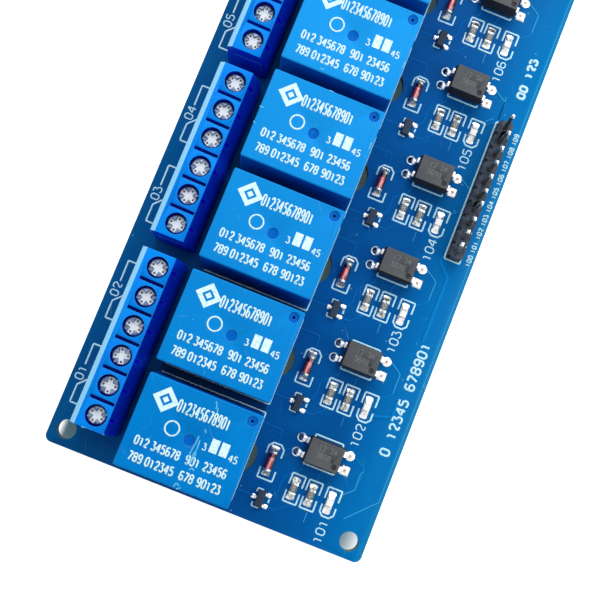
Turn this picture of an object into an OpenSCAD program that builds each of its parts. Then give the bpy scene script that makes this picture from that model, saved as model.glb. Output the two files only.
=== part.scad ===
// Relay module board: eight relays with their driver parts on one circuit board.
// X runs from the terminal side to the header side, Y along the row of relays, Z up.
// The origin is under the middle of the board, at the tips of the soldered pins.

/* [Board] */
// Thickness of the board
board_t = 1.6; // [1.2:0.1:2.4]
// Radius of the board's corners
corner_r = 1.2; // [0.6:0.1:2.4]
// Diameter of the four mounting holes
hole_d = 3.2; // [2.6:0.1:3.4]
// Mounting hole centre to each edge of the board
hole_inset = 2.9; // [2.7:0.1:3.2]
// Length of the soldered pins below the board
lead_below = 2; // [1.6:0.1:3]
// Distance from one channel to the next
channel_pitch = 16.92; // [16.6:0.02:19]
// Board left over past the first and the last channel
end_margin = 1.32; // [1:0.02:4]
// Width of the strip that carries the driver parts and the headers
driver_strip_w = 23.7; // [23.4:0.1:30]

/* [Terminal blocks] */
// Distance from one wire way to the next
way_pitch = 5; // [5:0.02:5.08]
// Board edge to the blocks' wire side
block_inset = 4.2; // [3.6:0.1:6]
// Depth of a block, from wire side to back
block_depth = 7.1; // [7:0.1:8]
// Height of a block above the board
block_h = 9.5; // [9.3:0.1:11]
// Gap between one block and the next
block_gap = 2.8; // [2.4:0.1:4]
// Width of the bevel along the wire side's top edge
block_bevel = 0.85; // [0.4:0.05:1.2]
// Depth of the slope at the back, in plan
slope_w = 1.35; // [0.8:0.05:1.4]
// Height of the slope at the back
slope_h = 3.4; // [2.6:0.1:3.6]
// Diameter of the screw wells
well_d = 3.5; // [3.4:0.05:4]
// Wire side to the axis of the screws
screw_x = 3.55; // [3.4:0.05:3.7]
// Underside of the screw heads above the board
ledge_z = 6.9; // [6.5:0.1:7.2]
// Thickness of the ledge that the screw heads bear on
ledge_t = 0.8; // [0.6:0.05:1]
// Width of a wire entry
entry_w = 3.1; // [2.6:0.1:3.4]
// Height of a wire entry
entry_h = 3.3; // [2.8:0.1:3.4]

/* [Terminal screws and cages] */
// Diameter of a screw head
head_d = 3.2; // [2.9:0.05:3.3]
// Height of a screw head
head_h = 1.9; // [1.5:0.1:2.1]
// Diameter of a screw's thread
thread_d = 2.5; // [2:0.1:2.6]
// Width of a clamping cage, along the block
cage_w = 3.9; // [3.7:0.05:3.95]
// Length of a clamping cage, along the wire
cage_l = 4.2; // [3.8:0.1:4.3]
// Thickness of a cage's walls
cage_wall = 0.6; // [0.4:0.05:0.8]
// Thickness of the strip that the terminal pins are bent from
strip_t = 0.5; // [0.4:0.05:0.6]

/* [Relays] */
// Length of a relay, across the board
relay_l = 19; // [18.6:0.1:20]
// Width of a relay, along the board
relay_w = 15.3; // [14.9:0.1:15.6]
// Height of a relay above the board
relay_h = 15.3; // [14:0.1:17]
// Gap between the terminal blocks and the relays
relay_gap = 2; // [1.4:0.1:4]
// How far a relay's walls lean in towards the top, on each side
relay_draft = 0.22; // [0.1:0.02:0.4]
// Thickness of a relay's base plate
base_t = 1.2; // [0.8:0.1:2]
// Wall of a relay's cover round its base plate
cover_wall = 0.7; // [0.5:0.05:1.2]
// Height of the feet that keep a relay off the board
foot_h = 0.3; // [0.2:0.05:0.5]
// Relay's end to the row of its common pin
common_inset = 1.9; // [1.6:0.1:2.4]
// Common pin to the coil pins, along the relay
coil_step = 2; // [1.8:0.1:2.4]
// Common pin to the two switched pins, along the relay
contact_step = 14.2; // [13.6:0.1:14.6]
// Relay's side to the middle of its outer pins
pin_side_inset = 1.65; // [1.4:0.05:2]
// Middle radius of the isolating slot round the common pin
slot_r = 2.6; // [2.3:0.05:2.9]
// Width of the isolating slot
slot_w = 1.5; // [1:0.1:1.6]

/* [Driver parts] */
// Relay's end to the middle of the diode
diode_x = 3.75; // [3.2:0.05:4.2]
// Relay's end to the middle of the transistor
transistor_x = 4.45; // [4:0.05:4.8]
// Relay's end to the middle of the first resistor
resistor_x = 9; // [8.4:0.1:9.4]
// First resistor to the second
resistor_step = 3.05; // [2.6:0.05:3.2]
// Second resistor to the lamp
lamp_step = 3.4; // [3:0.05:3.6]
// Relay's end to the middle of the optocoupler
opto_x = 11.5; // [11:0.1:12]
// Length of the optocoupler's body
opto_l = 6.1; // [5.8:0.1:6.6]
// Width of the optocoupler's body
opto_w = 4.6; // [4.2:0.1:4.9]
// Height of the optocoupler's body
opto_h = 3.5; // [3:0.1:4]
// Reach of the optocoupler's leads past its body
lead_reach = 0.95; // [0.8:0.05:1.2]
// Length of a chip resistor or lamp
chip_l = 2; // [1.8:0.1:2.2]
// Width of a chip resistor or lamp
chip_w = 1.25; // [1.1:0.05:1.4]
// Height of a chip resistor
chip_h = 0.55; // [0.4:0.05:0.7]
// Length of the metal end of a chip
chip_end = 0.38; // [0.25:0.02:0.5]
// Height of a lamp
lamp_h = 0.8; // [0.6:0.05:1.1]
// Length of the diode
diode_l = 3.5; // [3.3:0.1:3.8]
// Diameter of the diode
diode_d = 1.45; // [1.3:0.05:1.6]
// Length of a diode's metal cap
diode_cap = 0.45; // [0.35:0.05:0.6]
// Length of the transistor's body
transistor_l = 2.9; // [2.7:0.05:3.1]
// Width of the transistor's body
transistor_w = 1.35; // [1.2:0.05:1.5]
// Height of the transistor's body
transistor_h = 1; // [0.8:0.05:1.2]

/* [Pin headers] */
// Distance from one header pin to the next
pin_pitch = 2.54; // [2.5:0.02:2.6]
// Thickness of a square header pin
pin_t = 0.64; // [0.6:0.01:0.66]
// Height of a header's plastic strip
strip_h = 2.5; // [2.2:0.1:3]
// Length of the pins above the strip
pin_above = 6; // [5:0.1:7]
// Length of header pin below the board
pin_below = 1.4; // [1:0.1:1.6]
// Board edge to the row of header pins
header_inset = 3.7; // [3.2:0.1:4]
// Middle of the signal header from the middle of the board, along the board
signal_y = -3.1; // [-12:0.1:4]
// Gap between the signal header and the power header
header_gap = 32; // [24:0.5:34]
// Height of the jumper cap
cap_h = 6.2; // [5.6:0.1:6.4]

/* [Hidden] */
$fn = 32;
channels = 8;
blocks = 4;
ways = 6;
signal_pins = 10;
power_pins = 3;
cover_round = 0.5;       // rounding of a relay cover's upright edges
cover_edge = 0.32;       // rounding of its top edges
dimple_r = 0.9;          // gate mark in the middle of the cover
dimple_depth = 0.2;
vent_r = 0.85;           // round recess with the vent pinhole
vent_hole_r = 0.25;
vent_hole_depth = 1;
vent_x = 7.8;            // vent from the middle of the cover
vent_y = 6.1;
drill_r = 0.65;          // plated holes for relay and terminal pins
header_drill_r = 0.52;
pad_drill_r = 0.45;      // open plated holes beside the optocouplers
solder_r = 1.15;         // foot of a solder cone
solder_h = 1.25;
header_solder_r = 0.92;
header_solder_h = 1;
// Outline of a solder cone, from foot to tip, in shares of its foot radius and its height
SOLDER_OUTLINE = [[1, 0], [0.68, 0.28], [0.54, 0.66], [0.48, 1]];
fit = 0.02;              // clearance of solder in its plated hole
running = 0.1;           // clearance round a moving or inserted piece
over = 1;                // how far a cut reaches past the face that it opens
hole_web = 0.7;          // least board left between a mounting hole and a block
slot_half_angle = 118;   // half the sweep of the isolating slot
contact_pin = [0.5, 1];  // section of a relay's contact pins
coil_pin = [0.6, 0.6];   // section of a relay's coil pins
terminal_pin = [0.5, 1]; // section of a terminal pin
foot_size = 1.5;         // side of a relay's corner feet
block_play = 0.2;        // how much shorter a block is than its ways
bevel_rise = 0.9;        // height of the wire side's bevel, as a share of its width
terminal_pin_offset = 0.9; // terminal pins behind the axis of the screws
bar_l = 4.1;             // dividing groove between two ways
bar_w = 0.58;
bar_depth = 1.2;
peep_r = 0.42;           // small round hole in the back slope, one for each way
peep_depth = 1.5;
peep_share = 0.34;       // its place down the slope
end_panel = 0.25;        // raised panel on a block's end, and the recess that takes it
end_panel_x = [1.2, 6.1];
entry_round = 0.6;       // corner radius of a wire entry
mouth = 0.35;            // how much wider a wire entry is at its mouth
mouth_depth = 0.4;
cage_lift = 0.1;         // cage above its pin's foot when it is open
cage_top_t = 0.9;        // threaded top wall of a cage
thread_fit = 0.03;       // clearance round a screw's thread
cage_h = 4.8;
plate_w = 2.5;           // contact plate, along the block
plate_set_back = 0.2;    // contact plate behind the cage's mouth
head_chamfer = 0.25;
recess_w = 0.75;         // arms of the cross in a screw head
recess_l = 2.6;
recess_depth = 0.9;
blade_w = 0.5;           // straight slot across a screw head
blade_depth = 0.55;
opto_lead_w = 0.95;
opto_lead_t = 0.25;
opto_lead_foot = 0.55;   // flat end of a lead
lead_heel = 0.6;         // how far a lead's bend steps in, as a share of its thickness
opto_lift = 0.1;         // body of the optocoupler above the board
opto_draft = 0.2;
dot_r = 0.45;            // dot that marks the optocoupler's first lead
dot_inset = 1;
dot_depth = 0.12;
opto_y = 4.9;            // places along the board, from the middle of the relay
chip_y = -2.2;
diode_y = 0.65;
transistor_y = -5.7;
opto_pad_step = 0.35;    // tip of a lead to the plated hole beside it
transistor_lead_w = 0.45;
transistor_lead_t = 0.12;
transistor_lead_foot = 0.32;
transistor_lead_y = 0.95; // middle of the body to its paired leads
transistor_reach = 0.55;
transistor_draft = 0.12;
glass_inset = 0.03;      // diode's glass inside its caps, all round
chip_inset = 0.02;       // resistor's body inside its ends, on each side
chip_drop = 0.03;        // resistor's body below the top of its ends
lamp_base_t = 0.3;
lamp_draft = 0.08;
strip_cut = 0.26;        // corner cut of a header square, as a share of half its side
pin_tip = 0.45;          // chamfered end of a header pin
pin_tip_scale = 0.45;
// Lean of each signal pin from handling, in degrees: across the board, then along it
SIGNAL_LEANS = [[-6, 3], [-4, 0.5], [-2, -1], [0, 2.5], [-1, -1],
                [-1.5, -0.5], [-1, -1], [-1.5, -0.5], [0, 2], [-3.5, 5]];
// Turn of each screw as it was last driven, in degrees, one row for each block
SCREW_TURNS = [[24, 50, 60, 30, 20, 28], [35, 22, 12, 15, 15, 5],
               [0, 40, 20, 65, 30, 10], [28, 55, 15, 40, 70, 22]];
jumper_wall = 0.9;
jumper_top = 0.8;        // depth of the test opening in the cap's top
jumper_round = 0.3;
jumper_fit = 0.1;        // gap between a jumper cap and its neighbours

// Stations across the board
relay_x0 = block_inset + block_depth + relay_gap;
board_w = relay_x0 + relay_l + driver_strip_w;
block_l = ways * way_pitch - block_play;
block_pitch = block_l + block_gap;
board_l = max(channels * channel_pitch + 2 * end_margin,
              blocks * block_pitch - block_gap + 2 * (hole_inset + hole_d / 2 + hole_web));
edge_x = -board_w / 2;
relay_cx = edge_x + relay_x0 + relay_l / 2;
relay_end_x = relay_cx + relay_l / 2;
pin_half_span = relay_w / 2 - pin_side_inset;
block_x = edge_x + block_inset;
header_x = board_w / 2 - header_inset;

// Levels
board_bottom = lead_below;
board_top = lead_below + board_t;

// Levels and places inside one terminal way, from the board's top and the wire side
pocket_top = ledge_z - ledge_t;
foot_top = strip_t;
cage_z = foot_top + cage_lift;
window_z = [cage_z + cage_wall, cage_z + cage_h - cage_top_t];
plate_top = window_z[1];
tip_z = plate_top;
pocket_w = cage_w + 2 * running;
pocket_x = [screw_x - cage_l / 2 - running, screw_x + cage_l / 2 + 2 * running + strip_t];
leg_x = screw_x + cage_l / 2 + running;
terminal_pin_x = screw_x + terminal_pin_offset;
entry_z = (window_z[0] + plate_top - strip_t) / 2;

// Headers along the board
signal_l = signal_pins * pin_pitch;
power_l = power_pins * pin_pitch;
power_y = signal_y + signal_l / 2 + header_gap + power_l / 2;

function channel_y(c) = (c - (channels + 1) / 2) * channel_pitch;
function block_y(b) = (b - (blocks + 1) / 2) * block_pitch;
function way_y(w) = (w - (ways + 1) / 2) * way_pitch;

common_x = relay_l / 2 - common_inset;
// Relay pins: place from the relay's middle, and section
RELAY_PINS = [
    [common_x, 0, contact_pin],
    [common_x - coil_step, -pin_half_span, coil_pin],
    [common_x - coil_step, pin_half_span, coil_pin],
    [common_x - contact_step, -pin_half_span, contact_pin],
    [common_x - contact_step, pin_half_span, contact_pin]
];
opto_tip = opto_l / 2 + lead_reach;
opto_pad_x = opto_tip + opto_pad_step;

// ---- Shared shapes ----

// Block centred in X and Y that stands on z = 0
module block(size) {
    translate([-size[0] / 2, -size[1] / 2, 0]) cube(size);
}

// Plate with round upright corners, centred in X and Y
module round_plate(l, w, t, r) {
    block([l - 2 * r, w, t]);
    block([l, w - 2 * r, t]);
    for (sx = [-1, 1], sy = [-1, 1])
        translate([sx * (l / 2 - r), sy * (w / 2 - r), 0]) cylinder(r = r, h = t);
}

// Four-sided block on z = 0 whose walls lean in by the draft over its height
module leaning_block(l, w, h, draft) {
    function ring(x, y, z) = [[-x, -y, z], [x, -y, z], [x, y, z], [-x, y, z]];
    polyhedron(concat(ring(l / 2, w / 2, 0), ring(l / 2 - draft, w / 2 - draft, h)),
               [[0, 1, 2, 3], [7, 6, 5, 4], [4, 5, 1, 0], [5, 6, 2, 1], [6, 7, 3, 2], [7, 4, 0, 3]]);
}

// Moulded body that widens from its underside to the parting line and narrows to its top
module moulded_body(l, w, h, draft) {
    translate([0, 0, h / 2]) {
        leaning_block(l, w, h / 2, draft);
        mirror([0, 0, 1]) leaning_block(l, w, h / 2, draft);
    }
}

// Repeats its children at every channel
module each_channel() {
    for (c = [1:channels]) translate([0, channel_y(c), 0]) children();
}

// Solder in a plated hole, with its cone below the board, round a pin of the given section
module solder_joint(hole_r, section, foot_r, cone_h) {
    difference() {
        union() {
            translate([0, 0, board_bottom]) cylinder(r = hole_r - fit, h = board_t);
            translate([0, 0, board_bottom]) mirror([0, 0, 1]) rotate_extrude()
                polygon(concat([[0, 0]], [for (p = SOLDER_OUTLINE) [p[0] * foot_r, p[1] * cone_h]],
                               [[0, cone_h]]));
        }
        block([section[0], section[1], board_top + over]);
    }
}

// ---- Circuit board ----

// C-shaped slot that widens the creepage path round a relay's common pin
module isolating_slot() {
    translate([0, 0, board_bottom - over]) {
        rotate([0, 0, -slot_half_angle]) rotate_extrude(angle = 2 * slot_half_angle)
            translate([slot_r - slot_w / 2, 0]) square([slot_w, board_t + 2 * over]);
        for (s = [-1, 1]) rotate([0, 0, s * slot_half_angle])
            translate([slot_r, 0, 0]) cylinder(r = slot_w / 2, h = board_t + 2 * over);
    }
}

module drill(x, y, r) {
    translate([x, y, board_bottom - over]) cylinder(r = r, h = board_t + 2 * over);
}

module header_drills(y, pins) {
    for (i = [1:pins]) drill(header_x, y + (i - (pins + 1) / 2) * pin_pitch, header_drill_r);
}

module circuit_board() {
    color([0.02, 0.22, 0.5]) difference() {
        translate([0, 0, board_bottom]) round_plate(board_w, board_l, board_t, corner_r);
        for (sx = [-1, 1], sy = [-1, 1])
            drill(sx * (board_w / 2 - hole_inset), sy * (board_l / 2 - hole_inset), hole_d / 2);
        each_channel() {
            for (p = RELAY_PINS) drill(relay_cx + p[0], p[1], drill_r);
            translate([relay_cx + common_x, 0, 0]) isolating_slot();
            for (sx = [-1, 1], sy = [-1, 1])
                drill(relay_end_x + opto_x + sx * opto_pad_x, opto_y + sy * pin_pitch / 2, pad_drill_r);
        }
        for (b = [1:blocks], w = [1:ways])
            drill(block_x + terminal_pin_x, block_y(b) + way_y(w), drill_r);
        header_drills(signal_y, signal_pins);
        header_drills(power_y, power_pins);
    }
}

// ---- Relays ----

// Outer form of a cover, on the board's top: drafted walls, round edges
module cover_form() {
    hull() {
        for (sx = [-1, 1], sy = [-1, 1]) {
            translate([sx * (relay_l / 2 - cover_round), sy * (relay_w / 2 - cover_round), foot_h])
                cylinder(r = cover_round, h = base_t, $fn = 20);
            translate([sx * (relay_l / 2 - relay_draft - cover_edge),
                       sy * (relay_w / 2 - relay_draft - cover_edge), relay_h - cover_edge])
                sphere(r = cover_edge, $fn = 20);
        }
    }
}

module relay_cover(c) {
    color([0.05, 0.45, 0.82]) translate([relay_cx, channel_y(c), board_top]) difference() {
        cover_form();
        block([relay_l - 2 * cover_wall, relay_w - 2 * cover_wall, foot_h + base_t]);
        translate([0, 0, relay_h - dimple_depth]) cylinder(r = dimple_r, h = over);
        translate([vent_x, vent_y, relay_h - dimple_depth]) {
            cylinder(r = vent_r, h = over);
            translate([0, 0, -vent_hole_depth]) cylinder(r = vent_hole_r, h = vent_hole_depth + over);
        }
    }
}

// Base plate inside the foot of the cover, on four corner feet
module relay_base(c) {
    plate = [relay_l - 2 * cover_wall, relay_w - 2 * cover_wall];
    color([0.04, 0.3, 0.6]) translate([relay_cx, channel_y(c), board_top]) difference() {
        union() {
            translate([0, 0, foot_h]) block([plate[0], plate[1], base_t]);
            for (sx = [-1, 1], sy = [-1, 1])
                translate([sx * (plate[0] - foot_size) / 2, sy * (plate[1] - foot_size) / 2, 0])
                    block([foot_size, foot_size, foot_h]);
        }
        for (p = RELAY_PINS) translate([p[0], p[1], 0])
            block([p[2][0], p[2][1], foot_h + base_t + over]);
    }
}

module relay_pins() {
    color([0.8, 0.8, 0.82]) each_channel() for (p = RELAY_PINS)
        translate([relay_cx + p[0], p[1], 0])
            block([p[2][0], p[2][1], board_top + foot_h + base_t]);
}

module relay_solder() {
    color([0.75, 0.76, 0.78]) each_channel() for (p = RELAY_PINS)
        translate([relay_cx + p[0], p[1], 0]) solder_joint(drill_r, p[2], solder_r, solder_h);
}

// ---- Terminal blocks ----

// Moves its children to one way: x from the wire side, z from the board's top
module at_way(b, w) {
    translate([block_x, block_y(b) + way_y(w), board_top]) children();
}

// Solid run along Y of an outline drawn in X and Z, centred on y = 0
module run_along_y(length) {
    translate([0, length / 2, 0]) rotate([90, 0, 0]) linear_extrude(height = length) children();
}

// End view of a block: bevel on the wire side, slope at the back
module block_outline() {
    polygon([[0, 0], [0, block_h - block_bevel * bevel_rise], [block_bevel, block_h],
             [block_depth - slope_w, block_h], [block_depth, block_h - slope_h], [block_depth, 0]]);
}

// Opening for a wire, with round corners, cut along X
module wire_entry(w, h, length) {
    r = entry_round;
    for (size = [[w - 2 * r, h], [w, h - 2 * r]])
        translate([0, -size[0] / 2, -size[1] / 2]) cube([length, size[0], size[1]]);
    for (sy = [-1, 1], sz = [-1, 1])
        translate([0, sy * (w / 2 - r), sz * (h / 2 - r)]) rotate([0, 90, 0])
            cylinder(r = r, h = length);
}

// Everything that one way takes out of the housing
module way_cuts() {
    translate([screw_x, 0, ledge_z]) cylinder(d = well_d, h = block_h);
    translate([screw_x, 0, pocket_top - over])
        cylinder(d = thread_d + 2 * running, h = ledge_t + 2 * over);
    translate([pocket_x[0], -pocket_w / 2, -over])
        cube([pocket_x[1] - pocket_x[0], pocket_w, pocket_top + over]);
    translate([-over, 0, entry_z]) wire_entry(entry_w, entry_h, pocket_x[0] + 2 * over);
    translate([-over, 0, entry_z])
        wire_entry(entry_w + 2 * mouth, entry_h + 2 * mouth, over + mouth_depth);
    // Small round hole, sunk straight down in the back slope
    translate([block_depth - slope_w * (1 - peep_share), 0, block_h - slope_h * peep_share - peep_depth])
        cylinder(r = peep_r, h = block_h, $fn = 24);
}

// Raised panel on a block's end, rooted in the block
module end_panel_solid() {
    translate([end_panel_x[0], 0, 0])
        cube([end_panel_x[1] - end_panel_x[0], 3 * end_panel, ledge_z]);
}

module terminal_block(b) {
    color([0.04, 0.38, 0.95]) difference() {
        translate([block_x, block_y(b), board_top]) union() {
            run_along_y(block_l) block_outline();
            translate([0, -block_l / 2 - end_panel, 0]) end_panel_solid();
        }
        translate([block_x, block_y(b) + block_l / 2 - end_panel, board_top - over])
            end_panel_recess();
        for (w = [1:ways]) at_way(b, w) way_cuts();
        for (w = [1:ways - 1]) translate([block_x + screw_x, block_y(b) + way_y(w) + way_pitch / 2,
                                          board_top + block_h - bar_depth])
            block([bar_l, bar_w, bar_depth + over]);
    }
}

// Recess that takes the next block's raised panel when blocks are ganged
module end_panel_recess() {
    translate([end_panel_x[0] - running, 0, 0])
        cube([end_panel_x[1] - end_panel_x[0] + 2 * running, end_panel + over, ledge_z + over + running]);
}

// Clamp screw: straight slot and cross in one head, plain shank to the contact plate
module terminal_screw() {
    difference() {
        union() {
            translate([0, 0, ledge_z]) cylinder(d = head_d, h = head_h - head_chamfer);
            translate([0, 0, ledge_z + head_h - head_chamfer])
                cylinder(d1 = head_d, d2 = head_d - 2 * head_chamfer, h = head_chamfer);
            translate([0, 0, tip_z]) cylinder(d = thread_d, h = ledge_z - tip_z + head_h / 3);
        }
        translate([0, 0, ledge_z + head_h - blade_depth]) block([head_d + over, blade_w, over]);
        for (a = [45, 135]) rotate([0, 0, a]) translate([0, 0, ledge_z + head_h - recess_depth])
            block([recess_l, recess_w, recess_depth + over]);
    }
}

module terminal_screws(b) {
    color([0.85, 0.86, 0.88]) for (w = [1:ways]) at_way(b, w)
        translate([screw_x, 0, 0]) rotate([0, 0, SCREW_TURNS[b - 1][w - 1]]) terminal_screw();
}

// Rising cage: a square ring whose top wall is threaded on the screw
module terminal_cage() {
    difference() {
        translate([screw_x, 0, cage_z]) block([cage_l, cage_w, cage_h]);
        translate([screw_x - cage_l, -(cage_w / 2 - cage_wall), window_z[0]])
            cube([cage_l * 2, cage_w - 2 * cage_wall, window_z[1] - window_z[0]]);
        translate([screw_x, 0, window_z[1] - thread_fit])
            cylinder(d = thread_d + 2 * thread_fit, h = cage_top_t + over);
    }
}

module terminal_cages(b) {
    color([0.78, 0.74, 0.62]) for (w = [1:ways]) at_way(b, w) terminal_cage();
}

// Terminal pin: contact plate in the cage, leg behind it, foot under it and pin
module terminal_pin_strip() {
    plate_x0 = screw_x - cage_l / 2 + plate_set_back;
    translate([plate_x0, -plate_w / 2, plate_top - strip_t])
        cube([leg_x + strip_t - plate_x0, plate_w, strip_t]);
    translate([leg_x, -plate_w / 2, 0]) cube([strip_t, plate_w, plate_top]);
    translate([terminal_pin_x - strip_t / 2, -plate_w / 2, 0])
        cube([leg_x + strip_t - terminal_pin_x + strip_t / 2, plate_w, strip_t]);
    translate([terminal_pin_x, 0, -board_top])
        block([terminal_pin[0], terminal_pin[1], board_top + strip_t / 2]);
}

module terminal_pins(b) {
    color([0.82, 0.82, 0.84]) for (w = [1:ways]) at_way(b, w) terminal_pin_strip();
}

module terminal_solder() {
    color([0.75, 0.76, 0.78]) for (b = [1:blocks], w = [1:ways])
        translate([block_x + terminal_pin_x, block_y(b) + way_y(w), 0])
            solder_joint(drill_r, terminal_pin, solder_r, solder_h);
}

// ---- Driver parts on the board's surface ----

module at_driver(x, y) {
    each_channel() translate([relay_end_x + x, y, board_top]) children();
}

module optocoupler_bodies() {
    color([0.25, 0.25, 0.27]) at_driver(opto_x, opto_y) difference() {
        translate([0, 0, opto_lift]) moulded_body(opto_l, opto_w, opto_h, opto_draft);
        // Dot that marks the first lead
        translate([opto_l / 2 - dot_inset, -opto_w / 2 + dot_inset, opto_lift + opto_h - dot_depth])
            cylinder(r = dot_r, h = over, $fn = 24);
    }
}

// Gull-wing lead: out of the parting line, down and out along the board
module gull_lead(reach, level, width, t, foot) {
    rotate([90, 0, 0]) translate([0, 0, -width / 2]) linear_extrude(height = width)
        polygon([[0, level + t / 2], [reach - foot, level + t / 2], [reach - foot + t * (1 - lead_heel), t],
                 [reach, t], [reach, 0], [reach - foot - t * lead_heel, 0],
                 [reach - foot - t, level - t / 2], [0, level - t / 2]]);
}

module optocoupler_leads() {
    level = opto_lift + opto_h / 2;
    color([0.85, 0.85, 0.87]) at_driver(opto_x, opto_y) for (sx = [-1, 1], sy = [-1, 1])
        translate([sx * opto_l / 2, sy * pin_pitch / 2, 0]) mirror([(1 - sx) / 2, 0, 0])
            gull_lead(lead_reach, level, opto_lead_w, opto_lead_t, opto_lead_foot);
}

module lying_cylinder(d, length) {
    translate([0, length / 2, d / 2]) rotate([90, 0, 0]) cylinder(d = d, h = length, $fn = 24);
}

module diode_glass() {
    color([0.8, 0.25, 0.15]) at_driver(diode_x, diode_y)
        translate([0, 0, glass_inset])
            lying_cylinder(diode_d - 2 * glass_inset, diode_l - 2 * diode_cap);
}

module diode_caps() {
    color([0.8, 0.8, 0.82]) at_driver(diode_x, diode_y) for (s = [-1, 1])
        translate([0, s * (diode_l - diode_cap) / 2, 0]) lying_cylinder(diode_d, diode_cap);
}

module transistor_bodies() {
    color([0.15, 0.15, 0.17]) at_driver(transistor_x, transistor_y) rotate([0, 0, 90])
        moulded_body(transistor_l, transistor_w, transistor_h, transistor_draft);
}

module transistor_leads() {
    level = transistor_h / 2;
    color([0.85, 0.85, 0.87]) at_driver(transistor_x, transistor_y)
        for (p = [[-1, 0], [1, -transistor_lead_y], [1, transistor_lead_y]])
            translate([p[0] * transistor_w / 2, p[1], 0]) mirror([(1 - p[0]) / 2, 0, 0])
                gull_lead(transistor_reach, level, transistor_lead_w, transistor_lead_t,
                          transistor_lead_foot);
}

module each_resistor() {
    for (i = [0, 1]) at_driver(resistor_x + i * resistor_step, chip_y) children();
}

module resistor_bodies() {
    color([0.12, 0.12, 0.13]) each_resistor()
        block([chip_w - 2 * chip_inset, chip_l - 2 * chip_end, chip_h - chip_drop]);
}

module chip_ends(h) {
    for (s = [-1, 1]) translate([0, s * (chip_l - chip_end) / 2, 0])
        block([chip_w, chip_end, h]);
}

module resistor_ends() {
    color([0.85, 0.85, 0.86]) each_resistor() chip_ends(chip_h);
}

// Lamp: clear lens moulded on a thin base with two metal ends
module lamp_lenses() {
    color([0.95, 0.95, 0.9]) at_driver(resistor_x + resistor_step + lamp_step, chip_y)
        translate([0, 0, lamp_base_t])
            leaning_block(chip_w, chip_l - 2 * chip_end, lamp_h - lamp_base_t, lamp_draft);
}

module lamp_bases() {
    color([0.9, 0.9, 0.86]) at_driver(resistor_x + resistor_step + lamp_step, chip_y)
        block([chip_w, chip_l, lamp_base_t]);
}

// ---- Pin headers ----

// Plastic strip of chamfered squares, one for each pin
module header_strip(y, pins) {
    side = pin_pitch / 2;
    cut = side * strip_cut;
    outline = [[-side, cut - side], [cut - side, -side], [side - cut, -side], [side, cut - side],
               [side, side - cut], [side - cut, side], [cut - side, side], [-side, side - cut]];
    translate([header_x, y, board_top]) difference() {
        for (i = [1:pins]) translate([0, (i - (pins + 1) / 2) * pin_pitch, 0])
            linear_extrude(height = strip_h) polygon(outline);
        for (i = [1:pins]) translate([0, (i - (pins + 1) / 2) * pin_pitch, -over])
            block([pin_t, pin_t, strip_h + 2 * over]);
    }
}

// Square pin with a chamfered tip, leaning by two angles from where it leaves its strip
module header_pin(lean) {
    low = board_bottom - pin_below;
    bend = board_top + strip_h;
    translate([0, 0, low]) block([pin_t, pin_t, bend - low]);
    translate([0, 0, bend]) rotate([-lean[1], lean[0], 0]) {
        block([pin_t, pin_t, pin_above - pin_tip]);
        translate([0, 0, pin_above - pin_tip]) linear_extrude(height = pin_tip, scale = pin_tip_scale)
            square(pin_t, center = true);
    }
}

// Row of pins, each with its own lean from the list, or upright
module header_pins(y, pins, leans) {
    for (i = [1:pins]) translate([header_x, y + (i - (pins + 1) / 2) * pin_pitch, 0])
        header_pin(i <= len(leans) ? leans[i - 1] : [0, 0]);
}

module signal_header_strip() {
    color([0.16, 0.16, 0.18]) header_strip(signal_y, signal_pins);
}

module signal_header_pins() {
    color([0.8, 0.8, 0.8]) header_pins(signal_y, signal_pins, SIGNAL_LEANS);
}

module power_header_strip() {
    color([0.16, 0.16, 0.18]) header_strip(power_y, power_pins);
}

module power_header_pins() {
    color([0.8, 0.8, 0.8]) header_pins(power_y, power_pins, []);
}

// Cap that bridges the first two power pins
module jumper_cap() {
    w = pin_pitch - jumper_fit;
    color([0.1, 0.1, 0.5]) translate([header_x, power_y - pin_pitch / 2, board_top + strip_h])
        difference() {
            round_plate(w, 2 * pin_pitch - jumper_fit, cap_h, jumper_round);
            for (s = [-1, 1]) translate([0, s * pin_pitch / 2, -over])
                block([pin_t + 2 * fit, pin_t + 2 * fit, pin_above + over]);
            // Test opening in the cap's top
            translate([0, 0, cap_h - jumper_top]) block([w - 2 * jumper_wall, pin_pitch, jumper_top + over]);
        }
}

module header_solder() {
    color([0.75, 0.76, 0.78]) {
        for (i = [1:signal_pins])
            translate([header_x, signal_y + (i - (signal_pins + 1) / 2) * pin_pitch, 0])
                solder_joint(header_drill_r, [pin_t, pin_t], header_solder_r, header_solder_h);
        for (i = [1:power_pins])
            translate([header_x, power_y + (i - (power_pins + 1) / 2) * pin_pitch, 0])
                solder_joint(header_drill_r, [pin_t, pin_t], header_solder_r, header_solder_h);
    }
}

// ---- The part ----

circuit_board();
for (c = [1:channels]) relay_cover(c);
for (c = [1:channels]) relay_base(c);
relay_pins();
for (b = [1:blocks]) terminal_block(b);
for (b = [1:blocks]) terminal_screws(b);
for (b = [1:blocks]) terminal_cages(b);
for (b = [1:blocks]) terminal_pins(b);
optocoupler_bodies();
optocoupler_leads();
diode_glass();
diode_caps();
transistor_bodies();
transistor_leads();
resistor_bodies();
resistor_ends();
lamp_lenses();
lamp_bases();
signal_header_strip();
signal_header_pins();
power_header_strip();
power_header_pins();
jumper_cap();
relay_solder();
terminal_solder();
header_solder();
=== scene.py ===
# %% [markdown]
# # A relay module board, dressed cell by cell
# Eight blue relays stand in a row on a long blue circuit board. Each one has a small driver
# circuit beside it and three ways of a screw terminal on its other side. The frame holds every
# piece at its real size. These cells give the pieces their edges, print, solder and finish.

# %% Load the frame
from math import cos, pi, radians, sin

import bmesh
import bpy
from mathutils import Matrix, Vector


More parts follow.
